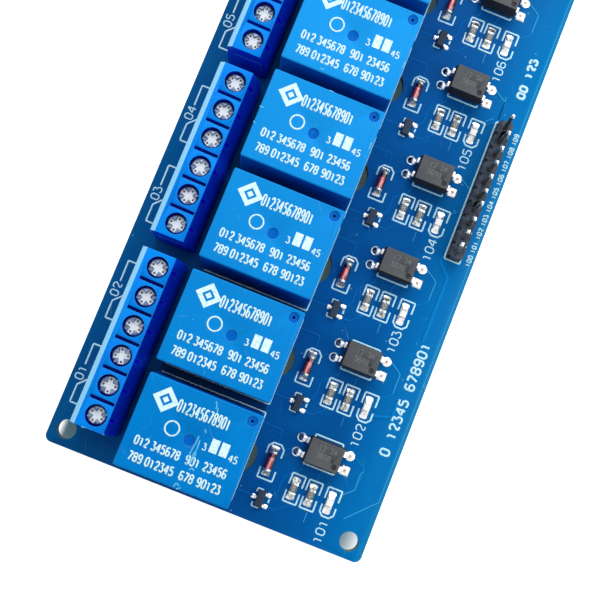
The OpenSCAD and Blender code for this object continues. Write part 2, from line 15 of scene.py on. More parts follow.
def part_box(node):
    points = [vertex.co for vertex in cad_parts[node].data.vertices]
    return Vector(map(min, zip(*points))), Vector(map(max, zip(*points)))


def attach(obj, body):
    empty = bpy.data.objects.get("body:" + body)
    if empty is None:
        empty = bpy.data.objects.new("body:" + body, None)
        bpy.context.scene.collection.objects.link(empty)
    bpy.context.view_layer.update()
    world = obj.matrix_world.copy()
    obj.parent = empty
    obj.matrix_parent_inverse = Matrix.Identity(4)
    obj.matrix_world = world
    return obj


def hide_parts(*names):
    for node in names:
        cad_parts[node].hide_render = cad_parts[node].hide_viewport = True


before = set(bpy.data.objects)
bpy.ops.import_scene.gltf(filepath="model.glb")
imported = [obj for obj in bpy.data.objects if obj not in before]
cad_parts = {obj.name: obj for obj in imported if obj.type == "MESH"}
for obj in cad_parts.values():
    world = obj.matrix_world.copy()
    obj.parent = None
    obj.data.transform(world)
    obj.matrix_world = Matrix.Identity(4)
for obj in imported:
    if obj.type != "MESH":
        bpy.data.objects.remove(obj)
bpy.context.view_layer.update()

scene = bpy.context.scene
print("nodes in the frame:", len(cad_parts))

# %% [markdown]
# ## Measures
# Blender works in metres, and a board like this is drawn in millimetres, so one small helper
# turns one into the other. Places come from the boxes of the frame's nodes: if a relay moves in
# the drawing, its print and its solder move with it.

# %% Millimetres and the main places
MM = 0.001
board_low, board_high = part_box("circuit_board")
BOARD_TOP = board_high.z
BOARD_UNDER = board_low.z
CHANNELS = range(1, 9)
BLOCKS = range(1, 5)
relay_boxes = {c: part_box(f"relay_cover_{c}") for c in CHANNELS}
RELAY_MIDDLES = {c: (low + high) / 2 for c, (low, high) in relay_boxes.items()}
RELAY_TOP = relay_boxes[1][1].z
RELAY_END_X = relay_boxes[1][1].x
BLOCK_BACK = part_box("terminal_block_1")[1].x


def driver_place(channel, x, y, z=BOARD_TOP):
    """Place in millimetres from a relay's end and its middle line, as a point in metres."""
    return Vector((RELAY_END_X + x * MM, RELAY_MIDDLES[channel].y + y * MM, z))


def board_place(x, y, z=BOARD_TOP):
    """Place in millimetres from the board's near left corner, as a point in metres."""
    return Vector((board_low.x + x * MM, board_low.y + y * MM, z))


def by_relay(channel, places, z):
    """Points of a line, each in millimetres from a relay's end and its middle line."""
    return [driver_place(channel, x, y, z) for x, y in places]


def on_board(places, z):
    """Points of a line, each in millimetres from the board's near left corner."""
    return [board_place(x, y, z) for x, y in places]


print("board:", [round(side / MM, 2) for side in board_high - board_low], "mm")
print("relay pitch:", round((RELAY_MIDDLES[2].y - RELAY_MIDDLES[1].y) / MM, 2), "mm")

# %% [markdown]
# ## Camera
# The camera comes early, because everything is judged through it. It stands above the near end
# of the board and looks almost straight down, turned so that the board runs up to the right.
# A viewing direction and an "up" direction define a camera without any guessing of angles: the
# third axis is their cross product.

# %% Camera
EYE = Vector((0.208, -47.838, 163.848)) * MM
LOOK_AT = Vector((2.709, -31.840, 3.6)) * MM
CAMERA_TURN = radians(21.72)
FOCAL_LENGTH = 57.22      # in mm, on a sensor 36 mm wide


def link_object(name, data):
    """New object in the scene, with its data."""
    made = bpy.data.objects.new(name, data)
    scene.collection.objects.link(made)
    return made


camera_data = bpy.data.cameras.new("camera")
camera_data.lens = FOCAL_LENGTH
camera_data.sensor_width = 36
camera_data.clip_start = 0.01
camera = link_object("camera", camera_data)
scene.camera = camera

forward = (LOOK_AT - EYE).normalized()
up_hint = Vector((-sin(CAMERA_TURN), cos(CAMERA_TURN), 0))
right = forward.cross(up_hint).normalized()
up = right.cross(forward)
camera.matrix_world = Matrix.Translation(EYE) @ Matrix((right, up, -forward)).transposed().to_4x4()
print("camera looks along", [round(part, 3) for part in forward])

# %% [markdown]
# ## Floor, world and lamps
# The object lies on a white table. Round the board, the floor shows plain white to the camera
# and still takes light, so it keeps a soft shadow. Under the board its colour is painted darker and
# its glow is weak and blue-green like the lacquer: painted shade and a painted glow, seen through
# the mounting holes and the slots. The lamps are large, so every highlight is a soft one: one from the far
# end for the tops
# of the relays, one from the right that leaves shade on the left of every part, and a weak one
# from the left for the terminals' bevels.

# %% Small helpers for node trees
def connect(tree, node, inputs):
    """Feeds a node's inputs; each gets a plain value, or the socket that drives it."""
    for key, value in inputs.items():
        if isinstance(value, bpy.types.NodeSocket):
            tree.links.new(value, node.inputs[key])
        else:
            node.inputs[key].default_value = value


def put(tree, kind, inputs=None, **settings):
    """Adds a node with its settings and its inputs."""
    node = tree.nodes.new(kind)
    for key, value in settings.items():
        setattr(node, key, value)
    connect(tree, node, inputs or {})
    return node


def colour(red, green, blue):
    """Colour as screen values from 0 to 255, turned into the linear values of a shader."""
    def linear(part):
        part = part / 255
        return part / 12.92 if part <= 0.04045 else ((part + 0.055) / 1.055) ** 2.4
    return (linear(red), linear(green), linear(blue), 1.0)


def maths(tree, operation, first, second=0.0, third=0.0, clamp=False):
    """Math node in one line; gives its output socket."""
    return put(tree, "ShaderNodeMath", {0: first, 1: second, 2: third},
               operation=operation, use_clamp=clamp).outputs[0]


def ramp(tree, value, start, end, low=0.0, high=1.0):
    """Map Range in one line: start to end becomes low to high."""
    return put(tree, "ShaderNodeMapRange", {
        "Value": value, "From Min": start, "From Max": end, "To Min": low, "To Max": high}).outputs[0]


def axes_of(tree, vector):
    """The three parts of a vector."""
    return put(tree, "ShaderNodeSeparateXYZ", {0: vector}).outputs


def blend_colour(tree, factor, first, second):
    """Mix of two colours: sockets, screen values (three parts) or linear values (four parts)."""
    first, second = (colour(*c) if isinstance(c, tuple) and len(c) == 3 else c for c in (first, second))
    return put(tree, "ShaderNodeMix", {0: factor, 6: first, 7: second}, data_type="RGBA").outputs[2]


def shown(tree):
    """1 for the rays that show a surface: straight to the camera, in a mirror or through glass."""
    rays = put(tree, "ShaderNodeLightPath").outputs
    seen = maths(tree, "MAXIMUM", rays["Is Camera Ray"], rays["Is Glossy Ray"])
    return maths(tree, "MAXIMUM", seen, rays["Is Transmission Ray"])


print("helpers ready")

# %% World
scene.view_settings.view_transform = "Standard"
WORLD_LEVEL = 0.48

world = bpy.data.worlds.new("studio")
scene.world = world
world.use_nodes = True
tree = world.node_tree
tree.nodes.clear()
level = maths(tree, "MULTIPLY_ADD", shown(tree), 1 - WORLD_LEVEL, WORLD_LEVEL)
glow = put(tree, "ShaderNodeBackground", {"Color": (1, 1, 1, 1), "Strength": level})
put(tree, "ShaderNodeOutputWorld", {"Surface": glow.outputs[0]})
print("world level:", WORLD_LEVEL)

# %% Floor
FLOOR_SIZE = 3.0
FLOOR_GLOW = 0.8
PAINTED_UNDER_GLOW = 0.14        # painted glow on the floor under the board, blue-green like the lacquer
PAINTED_SHADE_COLOUR = (0.22, 0.39, 0.43, 1)
FLOOR_COLOUR = (0.8, 0.8, 0.8, 1)
WHITE = (1, 1, 1, 1)
# where the painted shade under the board turns to plain white, in millimetres past the board's outline on
# each side
FADES = {"left": (-2.25, -1.25), "right": (-5.0, 0.0), "ends": (0.0, 0.45)}

bpy.ops.mesh.primitive_plane_add(size=FLOOR_SIZE)
floor = bpy.context.object
floor.name = "floor"
floor_finish = bpy.data.materials.new("floor_white")
floor_finish.use_nodes = True
tree = floor_finish.node_tree
tree.nodes.clear()
across, along, _ = axes_of(tree, put(tree, "ShaderNodeTexCoord").outputs["Object"])
past = {"left": maths(tree, "SUBTRACT", maths(tree, "MULTIPLY", across, -1.0), board_high.x),
        "right": maths(tree, "SUBTRACT", across, board_high.x),
        "ends": maths(tree, "SUBTRACT", maths(tree, "ABSOLUTE", along), board_high.y)}
outside = 0.0
for side, (start, end) in FADES.items():
    outside = maths(tree, "MAXIMUM", outside, ramp(tree, past[side], start * MM, end * MM))
# painted shade: under the board the floor's colour is darker and its glow weak and blue-green
level = maths(tree, "MULTIPLY_ADD", outside, FLOOR_GLOW - PAINTED_UNDER_GLOW, PAINTED_UNDER_GLOW)
matt = put(tree, "ShaderNodeBsdfDiffuse", {
    "Color": blend_colour(tree, outside, PAINTED_SHADE_COLOUR, FLOOR_COLOUR)})
white = put(tree, "ShaderNodeEmission", {
    "Color": blend_colour(tree, outside, PAINTED_SHADE_COLOUR, WHITE),
    "Strength": maths(tree, "MULTIPLY", shown(tree), level)})
both = put(tree, "ShaderNodeAddShader", {0: matt.outputs[0], 1: white.outputs[0]})
put(tree, "ShaderNodeOutputMaterial", {"Surface": both.outputs[0]})
floor.data.materials.append(floor_finish)
print("floor:", FLOOR_SIZE, "m")

# %% Lamps
def soft_lamp(name, place, size, power):
    """Large rectangular lamp at a place, turned to shine at the middle of the board."""
    data = bpy.data.lights.new(name, "AREA")
    data.shape = "RECTANGLE"
    data.size, data.size_y = size
    data.energy = power
    lamp = link_object(name, data)
    lamp.location = place
    lamp.rotation_euler = (-Vector(place)).to_track_quat("-Z", "Y").to_euler()


soft_lamp("far_softbox", (-0.02, 0.36, 0.36), (0.45, 0.3), 1.65)
soft_lamp("right_softbox", (0.40, 0.04, 0.30), (0.2, 0.45), 0.95)
soft_lamp("left_softbox", (-0.42, 0.06, 0.26), (0.25, 0.5), 0.35)
print("lamps: far_softbox, right_softbox, left_softbox")

# %% [markdown]
# ## Shared surface effects
# Real surfaces are never even. Four small effects turn up on most finishes here: a fine moulding
# grain, hairline scratches from handling, a mask of edges that are painted lighter, as from wear
# and as a painted highlight, and specks of dust.
# Each is a node group that gives out only a mask or a height. The shader itself stays in each
# material, so every finish can use the same effect with its own strength.

# %% Group builder
def effect_group(name, inputs, outputs):
    """Empty shader group with named sockets; gives the tree and its two ends."""
    group = bpy.data.node_groups.new(name, "ShaderNodeTree")
    for label, kind, value in inputs:
        socket = group.interface.new_socket(label, in_out="INPUT", socket_type=kind)
        if value is not None:
            socket.default_value = value
    for label in outputs:
        group.interface.new_socket(label, in_out="OUTPUT", socket_type="NodeSocketFloat")
    return group, group.nodes.new("NodeGroupInput"), group.nodes.new("NodeGroupOutput")


def noise(tree, vector, scale, detail):
    """Noise in one line; gives its value from 0 to 1."""
    return put(tree, "ShaderNodeTexNoise", {
        "Vector": vector, "Scale": scale, "Detail": detail}).outputs["Fac"]


VECTOR = "NodeSocketVector"
FLOAT = "NodeSocketFloat"
print("group builder ready")

# %% Grain: fine height and broad tone
grain, enter, leave = effect_group(
    "moulding_grain", [("Coordinates", VECTOR, None), ("Scale", FLOAT, 6000.0)], ["Height", "Tone"])
BROAD = 0.02              # broad tone is this much coarser than the grain
at = enter.outputs["Coordinates"]
fine = noise(grain, at, enter.outputs["Scale"], 3.0)
broad = noise(grain, at, maths(grain, "MULTIPLY", enter.outputs["Scale"], BROAD), 2.0)
connect(grain, leave, {"Height": fine, "Tone": ramp(grain, broad, 0.3, 0.7)})
print("group:", grain.name)

# %% Scratches: stretched noise, cut to thin lines
scratches, enter, leave = effect_group(
    "handling_scratches",
    [("Coordinates", VECTOR, None), ("Scale", FLOAT, 400.0), ("Amount", FLOAT, 0.5)], ["Mask"])
sized = put(scratches, "ShaderNodeVectorMath", {
    0: enter.outputs["Coordinates"], "Scale": enter.outputs["Scale"]}, operation="SCALE")
threshold = maths(scratches, "MULTIPLY_ADD", enter.outputs["Amount"], -0.2, 0.8)
STEEPNESS = 18.0          # how suddenly a line starts
mask = 0.0
for turn, stretch in ((0.5, 22.0), (-0.9, 16.0), (1.9, 28.0)):
    laid = put(scratches, "ShaderNodeMapping", {
        "Vector": sized.outputs[0], "Rotation": (0, 0, turn), "Scale": (1.0, 1 / stretch, 1.0)},
        vector_type="TEXTURE")
    above = maths(scratches, "SUBTRACT", noise(scratches, laid.outputs[0], 1.0, 1.0), threshold)
    line = maths(scratches, "MULTIPLY", above, STEEPNESS, clamp=True)
    mask = maths(scratches, "MAXIMUM", mask, line)
connect(scratches, leave, {"Mask": mask})
print("group:", scratches.name)

# %% Edges: where a rounded normal differs from the true one
edges, enter, leave = effect_group("edge_catch", [("Radius", FLOAT, 0.0001)], ["Mask"])
rounded = put(edges, "ShaderNodeBevel", {"Radius": enter.outputs["Radius"]}, samples=4)
true_normal = put(edges, "ShaderNodeNewGeometry")
alike = put(edges, "ShaderNodeVectorMath", {
    0: rounded.outputs[0], 1: true_normal.outputs["Normal"]}, operation="DOT_PRODUCT")
unlike = maths(edges, "SUBTRACT", 1.0, alike.outputs["Value"])
connect(edges, leave, {"Mask": maths(edges, "MULTIPLY", unlike, 6.0, clamp=True)})
print("group:", edges.name)

# %% Dust: a speck in some of the cells of a Voronoi pattern
dust, enter, leave = effect_group(
    "dust_specks",
    [("Coordinates", VECTOR, None), ("Scale", FLOAT, 900.0), ("Amount", FLOAT, 0.2)], ["Mask"])
cells = put(dust, "ShaderNodeTexVoronoi", {
    "Vector": enter.outputs["Coordinates"], "Scale": enter.outputs["Scale"]})
SPECK_R = 0.14            # share of a cell
near = maths(dust, "LESS_THAN", cells.outputs["Distance"], SPECK_R)
chance = put(dust, "ShaderNodeSeparateColor", {0: cells.outputs["Color"]})
chosen = maths(dust, "LESS_THAN", chance.outputs[0], enter.outputs["Amount"])
connect(dust, leave, {"Mask": maths(dust, "MULTIPLY", near, chosen)})
print("group:", dust.name)

# %% [markdown]
# ## Finishes
# Most of the board is made of three kinds of stuff, so three recipes make most of the finishes.
# A moulded plastic has an even colour, a slight change of tone from the mould, grain and a few
# scratches. A worked metal has brushed lines and tarnish. The solder mask, the glass and the
# lamps are particular, and each gets a recipe of its own further down.

# %% Starting a material
def start_material(name):
    """Material with its shader and the object's own coordinates, ready for a recipe."""
    material = bpy.data.materials.new(name)
    material.use_nodes = True
    tree = material.node_tree
    shader = tree.nodes["Principled BSDF"]
    place = put(tree, "ShaderNodeTexCoord").outputs["Object"]
    return material, tree, shader, place


def effect(tree, group, **inputs):
    """Places one of the shared effects in a material; gives its outputs."""
    return put(tree, "ShaderNodeGroup", inputs, node_tree=group).outputs


def roughen(tree, shader, height, depth):
    """Feeds a height to the shader's normal as bumps of a real depth in metres."""
    bump = put(tree, "ShaderNodeBump", {"Distance": depth, "Height": height})
    connect(tree, shader, {"Normal": bump.outputs[0]})


def spread(tree, value, low, high):
    """Stretches a mask from 0..1 to low..high."""
    return ramp(tree, value, 0.0, 1.0, low, high)


def strongest(tree, *masks):
    """The largest of some masks, each with its weight."""
    most = 0.0
    for mask, weight in masks:
        most = maths(tree, "MAXIMUM", most, maths(tree, "MULTIPLY", mask, weight))
    return most


print("material helpers ready")

# %% Recipe for moulded plastic
def facing_mask(tree, axis, low, high):
    """Mask that is 1 where the surface faces along an axis, from its flat normal."""
    flat = put(tree, "ShaderNodeNewGeometry").outputs["True Normal"]
    return ramp(tree, axes_of(tree, flat)[axis], low, high)


def moulded_plastic(name, main, deep, wear_and_edge_light, roughness, specular, grain_depth, wall_shade=None,
                    wall_shade_facing=(0.55, 0.95), bevel=None, recess_shade=None, speckle=None,
                    grain_scale=7000.0, far_lit_tone=None):
    """Moulded plastic: two tones, grain, scratches and edges a little lighter, as from wear and as a
    painted highlight.

    Walls can be given a deeper colour than the top as painted shade, a bevel on the wire side a
    lighter one as a painted highlight, and faces sunk below a given height, given as their colour
    and that height, a deeper one as painted shade. Speckle is the colour of dark specks, and a far
    tone is what the colour becomes along the row, from the first relay to the fifth: painted light
    that grows towards the far end.
    """
    material, tree, shader, place = start_material(name)
    grained = effect(tree, grain, Coordinates=place, Scale=grain_scale)
    scratched = effect(tree, scratches, Coordinates=place, Scale=350.0, Amount=0.2)["Mask"]
    rubbed_and_lit_edges = effect(tree, edges, Radius=0.12 * MM)["Mask"]
    dusty = effect(tree, dust, Coordinates=place, Scale=1300.0, Amount=0.05)["Mask"]
    _, along, height_here = axes_of(tree, place)
    base = blend_colour(tree, grained["Tone"], main, deep)
    # painted light: the colour grows lighter towards the far relays
    if far_lit_tone:
        farther_lit = ramp(tree, along, RELAY_MIDDLES[1].y, RELAY_MIDDLES[5].y)
        base = blend_colour(tree, farther_lit, base, far_lit_tone)
    # painted shade: faces that turn away from up take a deeper colour
    if wall_shade:
        base = blend_colour(tree, facing_mask(tree, 2, *wall_shade_facing), wall_shade, base)
    # painted highlight: the bevel that faces the wire side and up takes a lighter colour
    if bevel:
        painted_bevel_light = maths(tree, "MULTIPLY", facing_mask(tree, 0, -0.25, -0.5), facing_mask(tree, 2, 0.2, 0.45))
        base = blend_colour(tree, painted_bevel_light, base, bevel)
    # painted shade: faces that point up below a given height take a deeper colour
    if recess_shade:
        below = maths(tree, "LESS_THAN", height_here, recess_shade[1])
        painted_recess_shade = maths(tree, "MULTIPLY", below, facing_mask(tree, 2, 0.8, 0.95))
        base = blend_colour(tree, painted_recess_shade, base, recess_shade[0])
    if speckle:
        specks = effect(tree, dust, Coordinates=place, Scale=950.0, Amount=0.75)["Mask"]
        base = blend_colour(tree, specks, base, speckle)
    # edges are painted lighter as wear and as a painted highlight, in the same colour as scratches and dust
    marks = strongest(tree, (scratched, 0.3), (rubbed_and_lit_edges, 0.45), (dusty, 0.35))
    matt = spread(tree, grained["Tone"], roughness, roughness + 0.08)
    connect(tree, shader, {
        "Base Color": blend_colour(tree, marks, base, wear_and_edge_light),
        "Roughness": maths(tree, "MULTIPLY_ADD", scratched, 0.2, matt),
        "Specular IOR Level": specular})
    roughen(tree, shader, maths(tree, "MULTIPLY_ADD", scratched, -0.8, grained["Height"]), grain_depth)
    return material


print("recipe: moulded plastic")

# %% Plastics of the board
PRINT_FILM = 0.03 * MM    # thickness of the print on the relay cases
OPTO_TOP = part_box("optocoupler_bodies")[1].z

# walls and sunk faces below get painted shade, the terminals' bevel a painted highlight, and the relays
# painted light towards the far end
relay_blue = moulded_plastic(
    "relay_blue", (0, 127, 206), (0, 119, 199), (120, 200, 245),
    far_lit_tone=(24, 151, 231), roughness=0.42, specular=0.03, grain_depth=0.003 * MM,
    wall_shade=(0, 90, 184), wall_shade_facing=(0.15, 0.4),
    recess_shade=((0, 98, 194), RELAY_TOP - 2 * PRINT_FILM))
relay_base_blue = moulded_plastic(
    "relay_base_blue", (2, 80, 150), (1, 66, 132), (60, 140, 200),
    roughness=0.5, specular=0.1, grain_depth=0.004 * MM)
terminal_blue = moulded_plastic(
    "terminal_blue", (0, 146, 246), (0, 134, 242), (90, 180, 250),
    roughness=0.36, specular=0.06, grain_depth=0.003 * MM,
    wall_shade=(0, 58, 208), bevel=(150, 216, 255),
    recess_shade=((0, 36, 152), BOARD_TOP + 9.2 * MM))
moulding_grey = moulded_plastic(
    "moulding_grey", (88, 91, 92), (78, 81, 84), (130, 134, 136),
    roughness=0.62, specular=0.25, grain_depth=0.012 * MM, wall_shade=(34, 36, 42),
    recess_shade=((50, 44, 56), OPTO_TOP - 0.06 * MM))
moulding_dark = moulded_plastic(
    "moulding_dark", (50, 66, 84), (36, 52, 70), (100, 118, 132),
    roughness=0.58, specular=0.25, grain_depth=0.010 * MM)
header_dark = moulded_plastic(
    "header_dark", (66, 76, 90), (30, 40, 54), (130, 146, 158),
    roughness=0.55, specular=0.3, grain_depth=0.016 * MM, speckle=(12, 16, 24),
    grain_scale=60000.0)
jumper_black = moulded_plastic(
    "jumper_black", (22, 24, 28), (16, 18, 22), (70, 76, 84),
    roughness=0.45, specular=0.4, grain_depth=0.006 * MM)
resistor_black = moulded_plastic(
    "resistor_black", (104, 110, 110), (82, 88, 90), (140, 144, 146),
    roughness=0.35, specular=0.4, grain_depth=0.003 * MM)
print("plastics: relay, base, terminal, moulding grey and dark, header, jumper, resistor")

# %% Notches between the ways of the long header
NOTCH_HALF = 0.11         # share of the pitch on each side of a joint
NOTCH_DEEP = 0.48 * MM
NOTCH_SHADE = (6, 12, 26)


def darken_joints(material, start, pitch, edge):
    """Shade in the notches between the ways of a header, on its board side."""
    tree = material.node_tree
    shader = tree.nodes["Principled BSDF"]
    across, along, _ = axes_of(tree, put(tree, "ShaderNodeTexCoord").outputs["Object"])
    ways = maths(tree, "DIVIDE", maths(tree, "SUBTRACT", along, start), pitch)
    to_middle = maths(tree, "ABSOLUTE", maths(tree, "SUBTRACT", maths(tree, "FRACT", ways), 0.5))
    at_joint = maths(tree, "GREATER_THAN", to_middle, 0.5 - NOTCH_HALF)
    at_edge = maths(tree, "LESS_THAN", maths(tree, "SUBTRACT", across, edge), NOTCH_DEEP)
    notch = maths(tree, "MULTIPLY", at_joint, at_edge)
    base = shader.inputs["Base Color"].links[0].from_socket
    connect(tree, shader, {"Base Color": blend_colour(tree, notch, base, NOTCH_SHADE)})


signal_low, signal_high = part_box("signal_header_strip")
PIN_PITCH = (signal_high.y - signal_low.y) / 10
darken_joints(header_dark, signal_low.y, PIN_PITCH, signal_low.x)
print("notches every", round(PIN_PITCH / MM, 2), "mm")

# %% Recipe for worked metal
def worked_metal(name, main, tarnish, roughness, line_scale, depth, tarnish_scale=900.0, crown=None):
    """Metal with patchy tarnish, fine lines and small dents.

    A crown, given as its colour and the height where it starts, is painted lighter than the rest as a
    painted highlight.
    """
    material, tree, shader, place = start_material(name)
    dented = effect(tree, grain, Coordinates=place, Scale=tarnish_scale * 3)["Height"]
    lined = effect(tree, scratches, Coordinates=place, Scale=line_scale, Amount=0.9)["Mask"]
    patch = put(tree, "ShaderNodeTexNoise", {
        "Vector": place, "Scale": tarnish_scale, "Detail": 3.0, "Roughness": 0.6})
    patchy = ramp(tree, patch.outputs["Fac"], 0.42, 0.66)
    base = blend_colour(tree, patchy, main, tarnish)
    if crown:
        above = maths(tree, "GREATER_THAN", axes_of(tree, place)[2], crown[1])
        base = blend_colour(tree, above, base, crown[0])
    dull = spread(tree, patchy, roughness, roughness + 0.14)
    connect(tree, shader, {
        "Base Color": base, "Roughness": maths(tree, "MULTIPLY_ADD", lined, 0.16, dull), "Metallic": 1.0})
    roughen(tree, shader, maths(tree, "MULTIPLY_ADD", lined, -0.6, dented), depth)
    return material


print("recipe: worked metal")

# %% Metals of the board
PIN_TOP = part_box("signal_header_pins")[1].z

screw_zinc = worked_metal("screw_zinc", (134, 152, 180), (76, 90, 122),
                          roughness=0.3, line_scale=900.0, depth=0.004 * MM)
cage_zinc = worked_metal("cage_zinc", (214, 206, 176), (180, 170, 130),
                         roughness=0.3, line_scale=600.0, depth=0.01 * MM)
tinned_lead = worked_metal("tinned_lead", (244, 246, 248), (206, 210, 214),
                           roughness=0.28, line_scale=1200.0, depth=0.004 * MM)
solder_bright = worked_metal("solder_bright", (248, 250, 252), (214, 214, 210),
                             roughness=0.24, line_scale=300.0, depth=0.008 * MM, tarnish_scale=1600.0)
solder_dull = worked_metal("solder_dull", (232, 236, 230), (104, 116, 120),
                           roughness=0.26, line_scale=300.0, depth=0.02 * MM, tarnish_scale=1500.0)
eyelet_tin = worked_metal("eyelet_tin", (196, 212, 224), (84, 112, 138),
                          roughness=0.3, line_scale=600.0, depth=0.01 * MM, tarnish_scale=1300.0)
# painted reflection and highlight: the shafts are painted dark like the dark strip they reflect, and the
# tips bright
pin_tinned = worked_metal("pin_tinned", (150, 148, 138), (88, 88, 88),
                          roughness=0.3, line_scale=900.0, depth=0.004 * MM,
                          crown=((250, 252, 250), PIN_TOP - 0.6 * MM))
print("metals: screw, cage, lead, bright and dull solder, eyelet, pin")

# %% [markdown]
# ### Solder mask
# A blue board is glass cloth in resin, covered by a thin blue lacquer. Slow changes of tone, a
# faint weave and a lighter rim without copper can be seen in it. Painted shade makes it deeper in
# tone towards the terminals and in the narrow strips between the tall parts, and painted light
# makes it brighter towards the header side. The sawn and drilled walls have no lacquer, so a mask
# from the surface normal gives them the tan and green layers of bare laminate.

# %% Board lacquer
WEAVE_PITCH = 0.5 * MM
PAINTED_LIGHT_SIDE = (11, 3)     # from the board's right side, in mm: where it starts to brighten, and ends
BARE_RIM = (1.1, 0.7)     # the same for the rim without copper
LAMINATE = (92, 106, 84), (160, 156, 116)
TERMINAL_SIDE_SHADE = (0, 72, 65)   # what the tone leans to at the terminals' side
IN_SHADE = (0, 22, 84)        # between the tall parts
WORN_LACQUER = (150, 200, 230)


def lacquer(name, main, deep, bright, rim):
    """Blue lacquer over glass cloth: painted light towards the header, painted shade towards the terminals
    and between tall parts, bare laminate on the upright sides.
    """
    material, tree, shader, place = start_material(name)
    grained = effect(tree, grain, Coordinates=place, Scale=5200.0)
    dusty = effect(tree, dust, Coordinates=place, Scale=800.0, Amount=0.06)["Mask"]
    scratched = effect(tree, scratches, Coordinates=place, Scale=120.0, Amount=0.1)["Mask"]
    across, along, _ = axes_of(tree, place)
    threads = [maths(tree, "SINE", maths(tree, "MULTIPLY", axis, 2 * pi / WEAVE_PITCH))
               for axis in (across, along)]
    weave = maths(tree, "MULTIPLY", *threads)
    patchy = ramp(tree, noise(tree, place, 55.0, 2.0), 0.35, 0.65)
    base = blend_colour(tree, patchy, main, deep)
    # painted shade: the tone leans darker towards the terminals' side
    shade_to_left = ramp(tree, across, RELAY_END_X, board_low.x, high=0.25)
    base = blend_colour(tree, shade_to_left, base, TERMINAL_SIDE_SHADE)
    # painted shade in the strip between the terminals and the relays, past the near end
    behind_blocks = ramp(tree, across, BLOCK_BACK - 0.5 * MM, BLOCK_BACK + 2 * MM)
    past_end = ramp(tree, along, board_low.y + 4 * MM, board_low.y + 9 * MM)
    under_relays = maths(tree, "LESS_THAN", across, RELAY_END_X - 0.2 * MM)
    painted_shade_between = maths(tree, "MULTIPLY", maths(tree, "MULTIPLY", behind_blocks, past_end), under_relays)
    base = blend_colour(tree, maths(tree, "MULTIPLY", painted_shade_between, 0.6), base, IN_SHADE)
    # painted light towards the right side; the rim without copper is its own lighter tone
    for (start, end), tone in ((PAINTED_LIGHT_SIDE, bright), (BARE_RIM, rim)):
        to_side = ramp(tree, across, board_high.x - start * MM, board_high.x - end * MM)
        base = blend_colour(tree, to_side, base, tone)
    base = blend_colour(tree, strongest(tree, (dusty, 0.25), (scratched, 0.18)), base, WORN_LACQUER)
    facing = axes_of(tree, put(tree, "ShaderNodeNewGeometry").outputs["True Normal"])[2]
    flat = maths(tree, "GREATER_THAN", maths(tree, "ABSOLUTE", facing), 0.5)
    stacked = put(tree, "ShaderNodeMapping", {"Vector": place, "Scale": (1.0, 1.0, 9.0)}).outputs[0]
    laminate = blend_colour(tree, noise(tree, stacked, 900.0, 3.0), *LAMINATE)
    matt = spread(tree, grained["Tone"], 0.66, 0.76)
    connect(tree, shader, {
        "Base Color": blend_colour(tree, flat, laminate, base),
        "Roughness": maths(tree, "MULTIPLY_ADD", flat, -0.35, matt),
        "Specular IOR Level": 0.04})
    roughen(tree, shader, maths(tree, "MULTIPLY_ADD", weave, 0.35, grained["Height"]), 0.006 * MM)
    return material


board_lacquer = lacquer("board_lacquer", (0, 93, 166), (0, 84, 154), (0, 114, 184),
                        (12, 124, 184))
copper_lacquer = lacquer("copper_lacquer", (0, 106, 184), (0, 98, 174), (0, 124, 198),
                         (14, 136, 194))
# painted highlight: a pale lacquer for the steps at the copper rims
ridge_highlight_lacquer = lacquer("ridge_highlight_lacquer", (70, 166, 220), (40, 140, 204),
                        (64, 172, 228), (56, 160, 220))
print("lacquers: board, over copper, ridge")

# %% Print inks
def ink(name, main, thin):
    """Screen-printed ink: a matt film that is thinner in places."""
    material, tree, shader, place = start_material(name)
    fine_height = effect(tree, grain, Coordinates=place, Scale=9000.0)["Height"]
    thinned = ramp(tree, noise(tree, place, 2600.0, 2.0), 0.5, 0.72)
    connect(tree, shader, {
        "Base Color": blend_colour(tree, thinned, main, thin),
        "Roughness": spread(tree, fine_height, 0.5, 0.75)})
    roughen(tree, shader, fine_height, 0.004 * MM)
    return material


silk_white = ink("silk_white", (200, 244, 255), (164, 228, 252))
value_white = ink("value_white", (220, 224, 216), (190, 194, 188))
case_white = ink("case_white", (222, 250, 252), (156, 222, 242))
mark_grey = ink("mark_grey", (110, 114, 110), (94, 98, 98))
print("inks: board, relay case, moulding")

# %% Recipes for glass and lenses
def glass_finish(name, shine, body, shade):
    """Round glass lying along the board: a painted highlight along its crown, painted shade on its flanks,
    and streaks.
    """
    material, tree, shader, place = start_material(name)
    drawn = put(tree, "ShaderNodeMapping", {"Vector": place, "Scale": (6.0, 1.0, 1.0)}).outputs[0]
    streak = noise(tree, drawn, 700.0, 2.0)
    normal = put(tree, "ShaderNodeNewGeometry").outputs["Normal"]
    lean = maths(tree, "ABSOLUTE", axes_of(tree, normal)[0])
    lean = maths(tree, "MULTIPLY_ADD", streak, 0.12, lean)
    base = blend_colour(tree, ramp(tree, lean, 0.35, 0.75), body, shade)
    base = blend_colour(tree, ramp(tree, lean, 0.30, 0.12), base, shine)
    connect(tree, shader, {
        "Base Color": base, "Roughness": spread(tree, streak, 0.06, 0.18),
        "Coat Weight": 0.5, "Coat Roughness": 0.04})
    return material


def lens_finish():
    """Clear-cast lens, near white, a little cloudy in colour, roughness and bumps."""
    material, tree, shader, place = start_material("lamp_lens_pale")
    cloudy = noise(tree, place, 1800.0, 2.0)
    connect(tree, shader, {
        "Base Color": blend_colour(tree, cloudy, (255, 255, 252), (250, 252, 242)),
        "Roughness": spread(tree, cloudy, 0.12, 0.3)})
    roughen(tree, shader, cloudy, 0.006 * MM)
    return material


print("recipes: glass, lens")

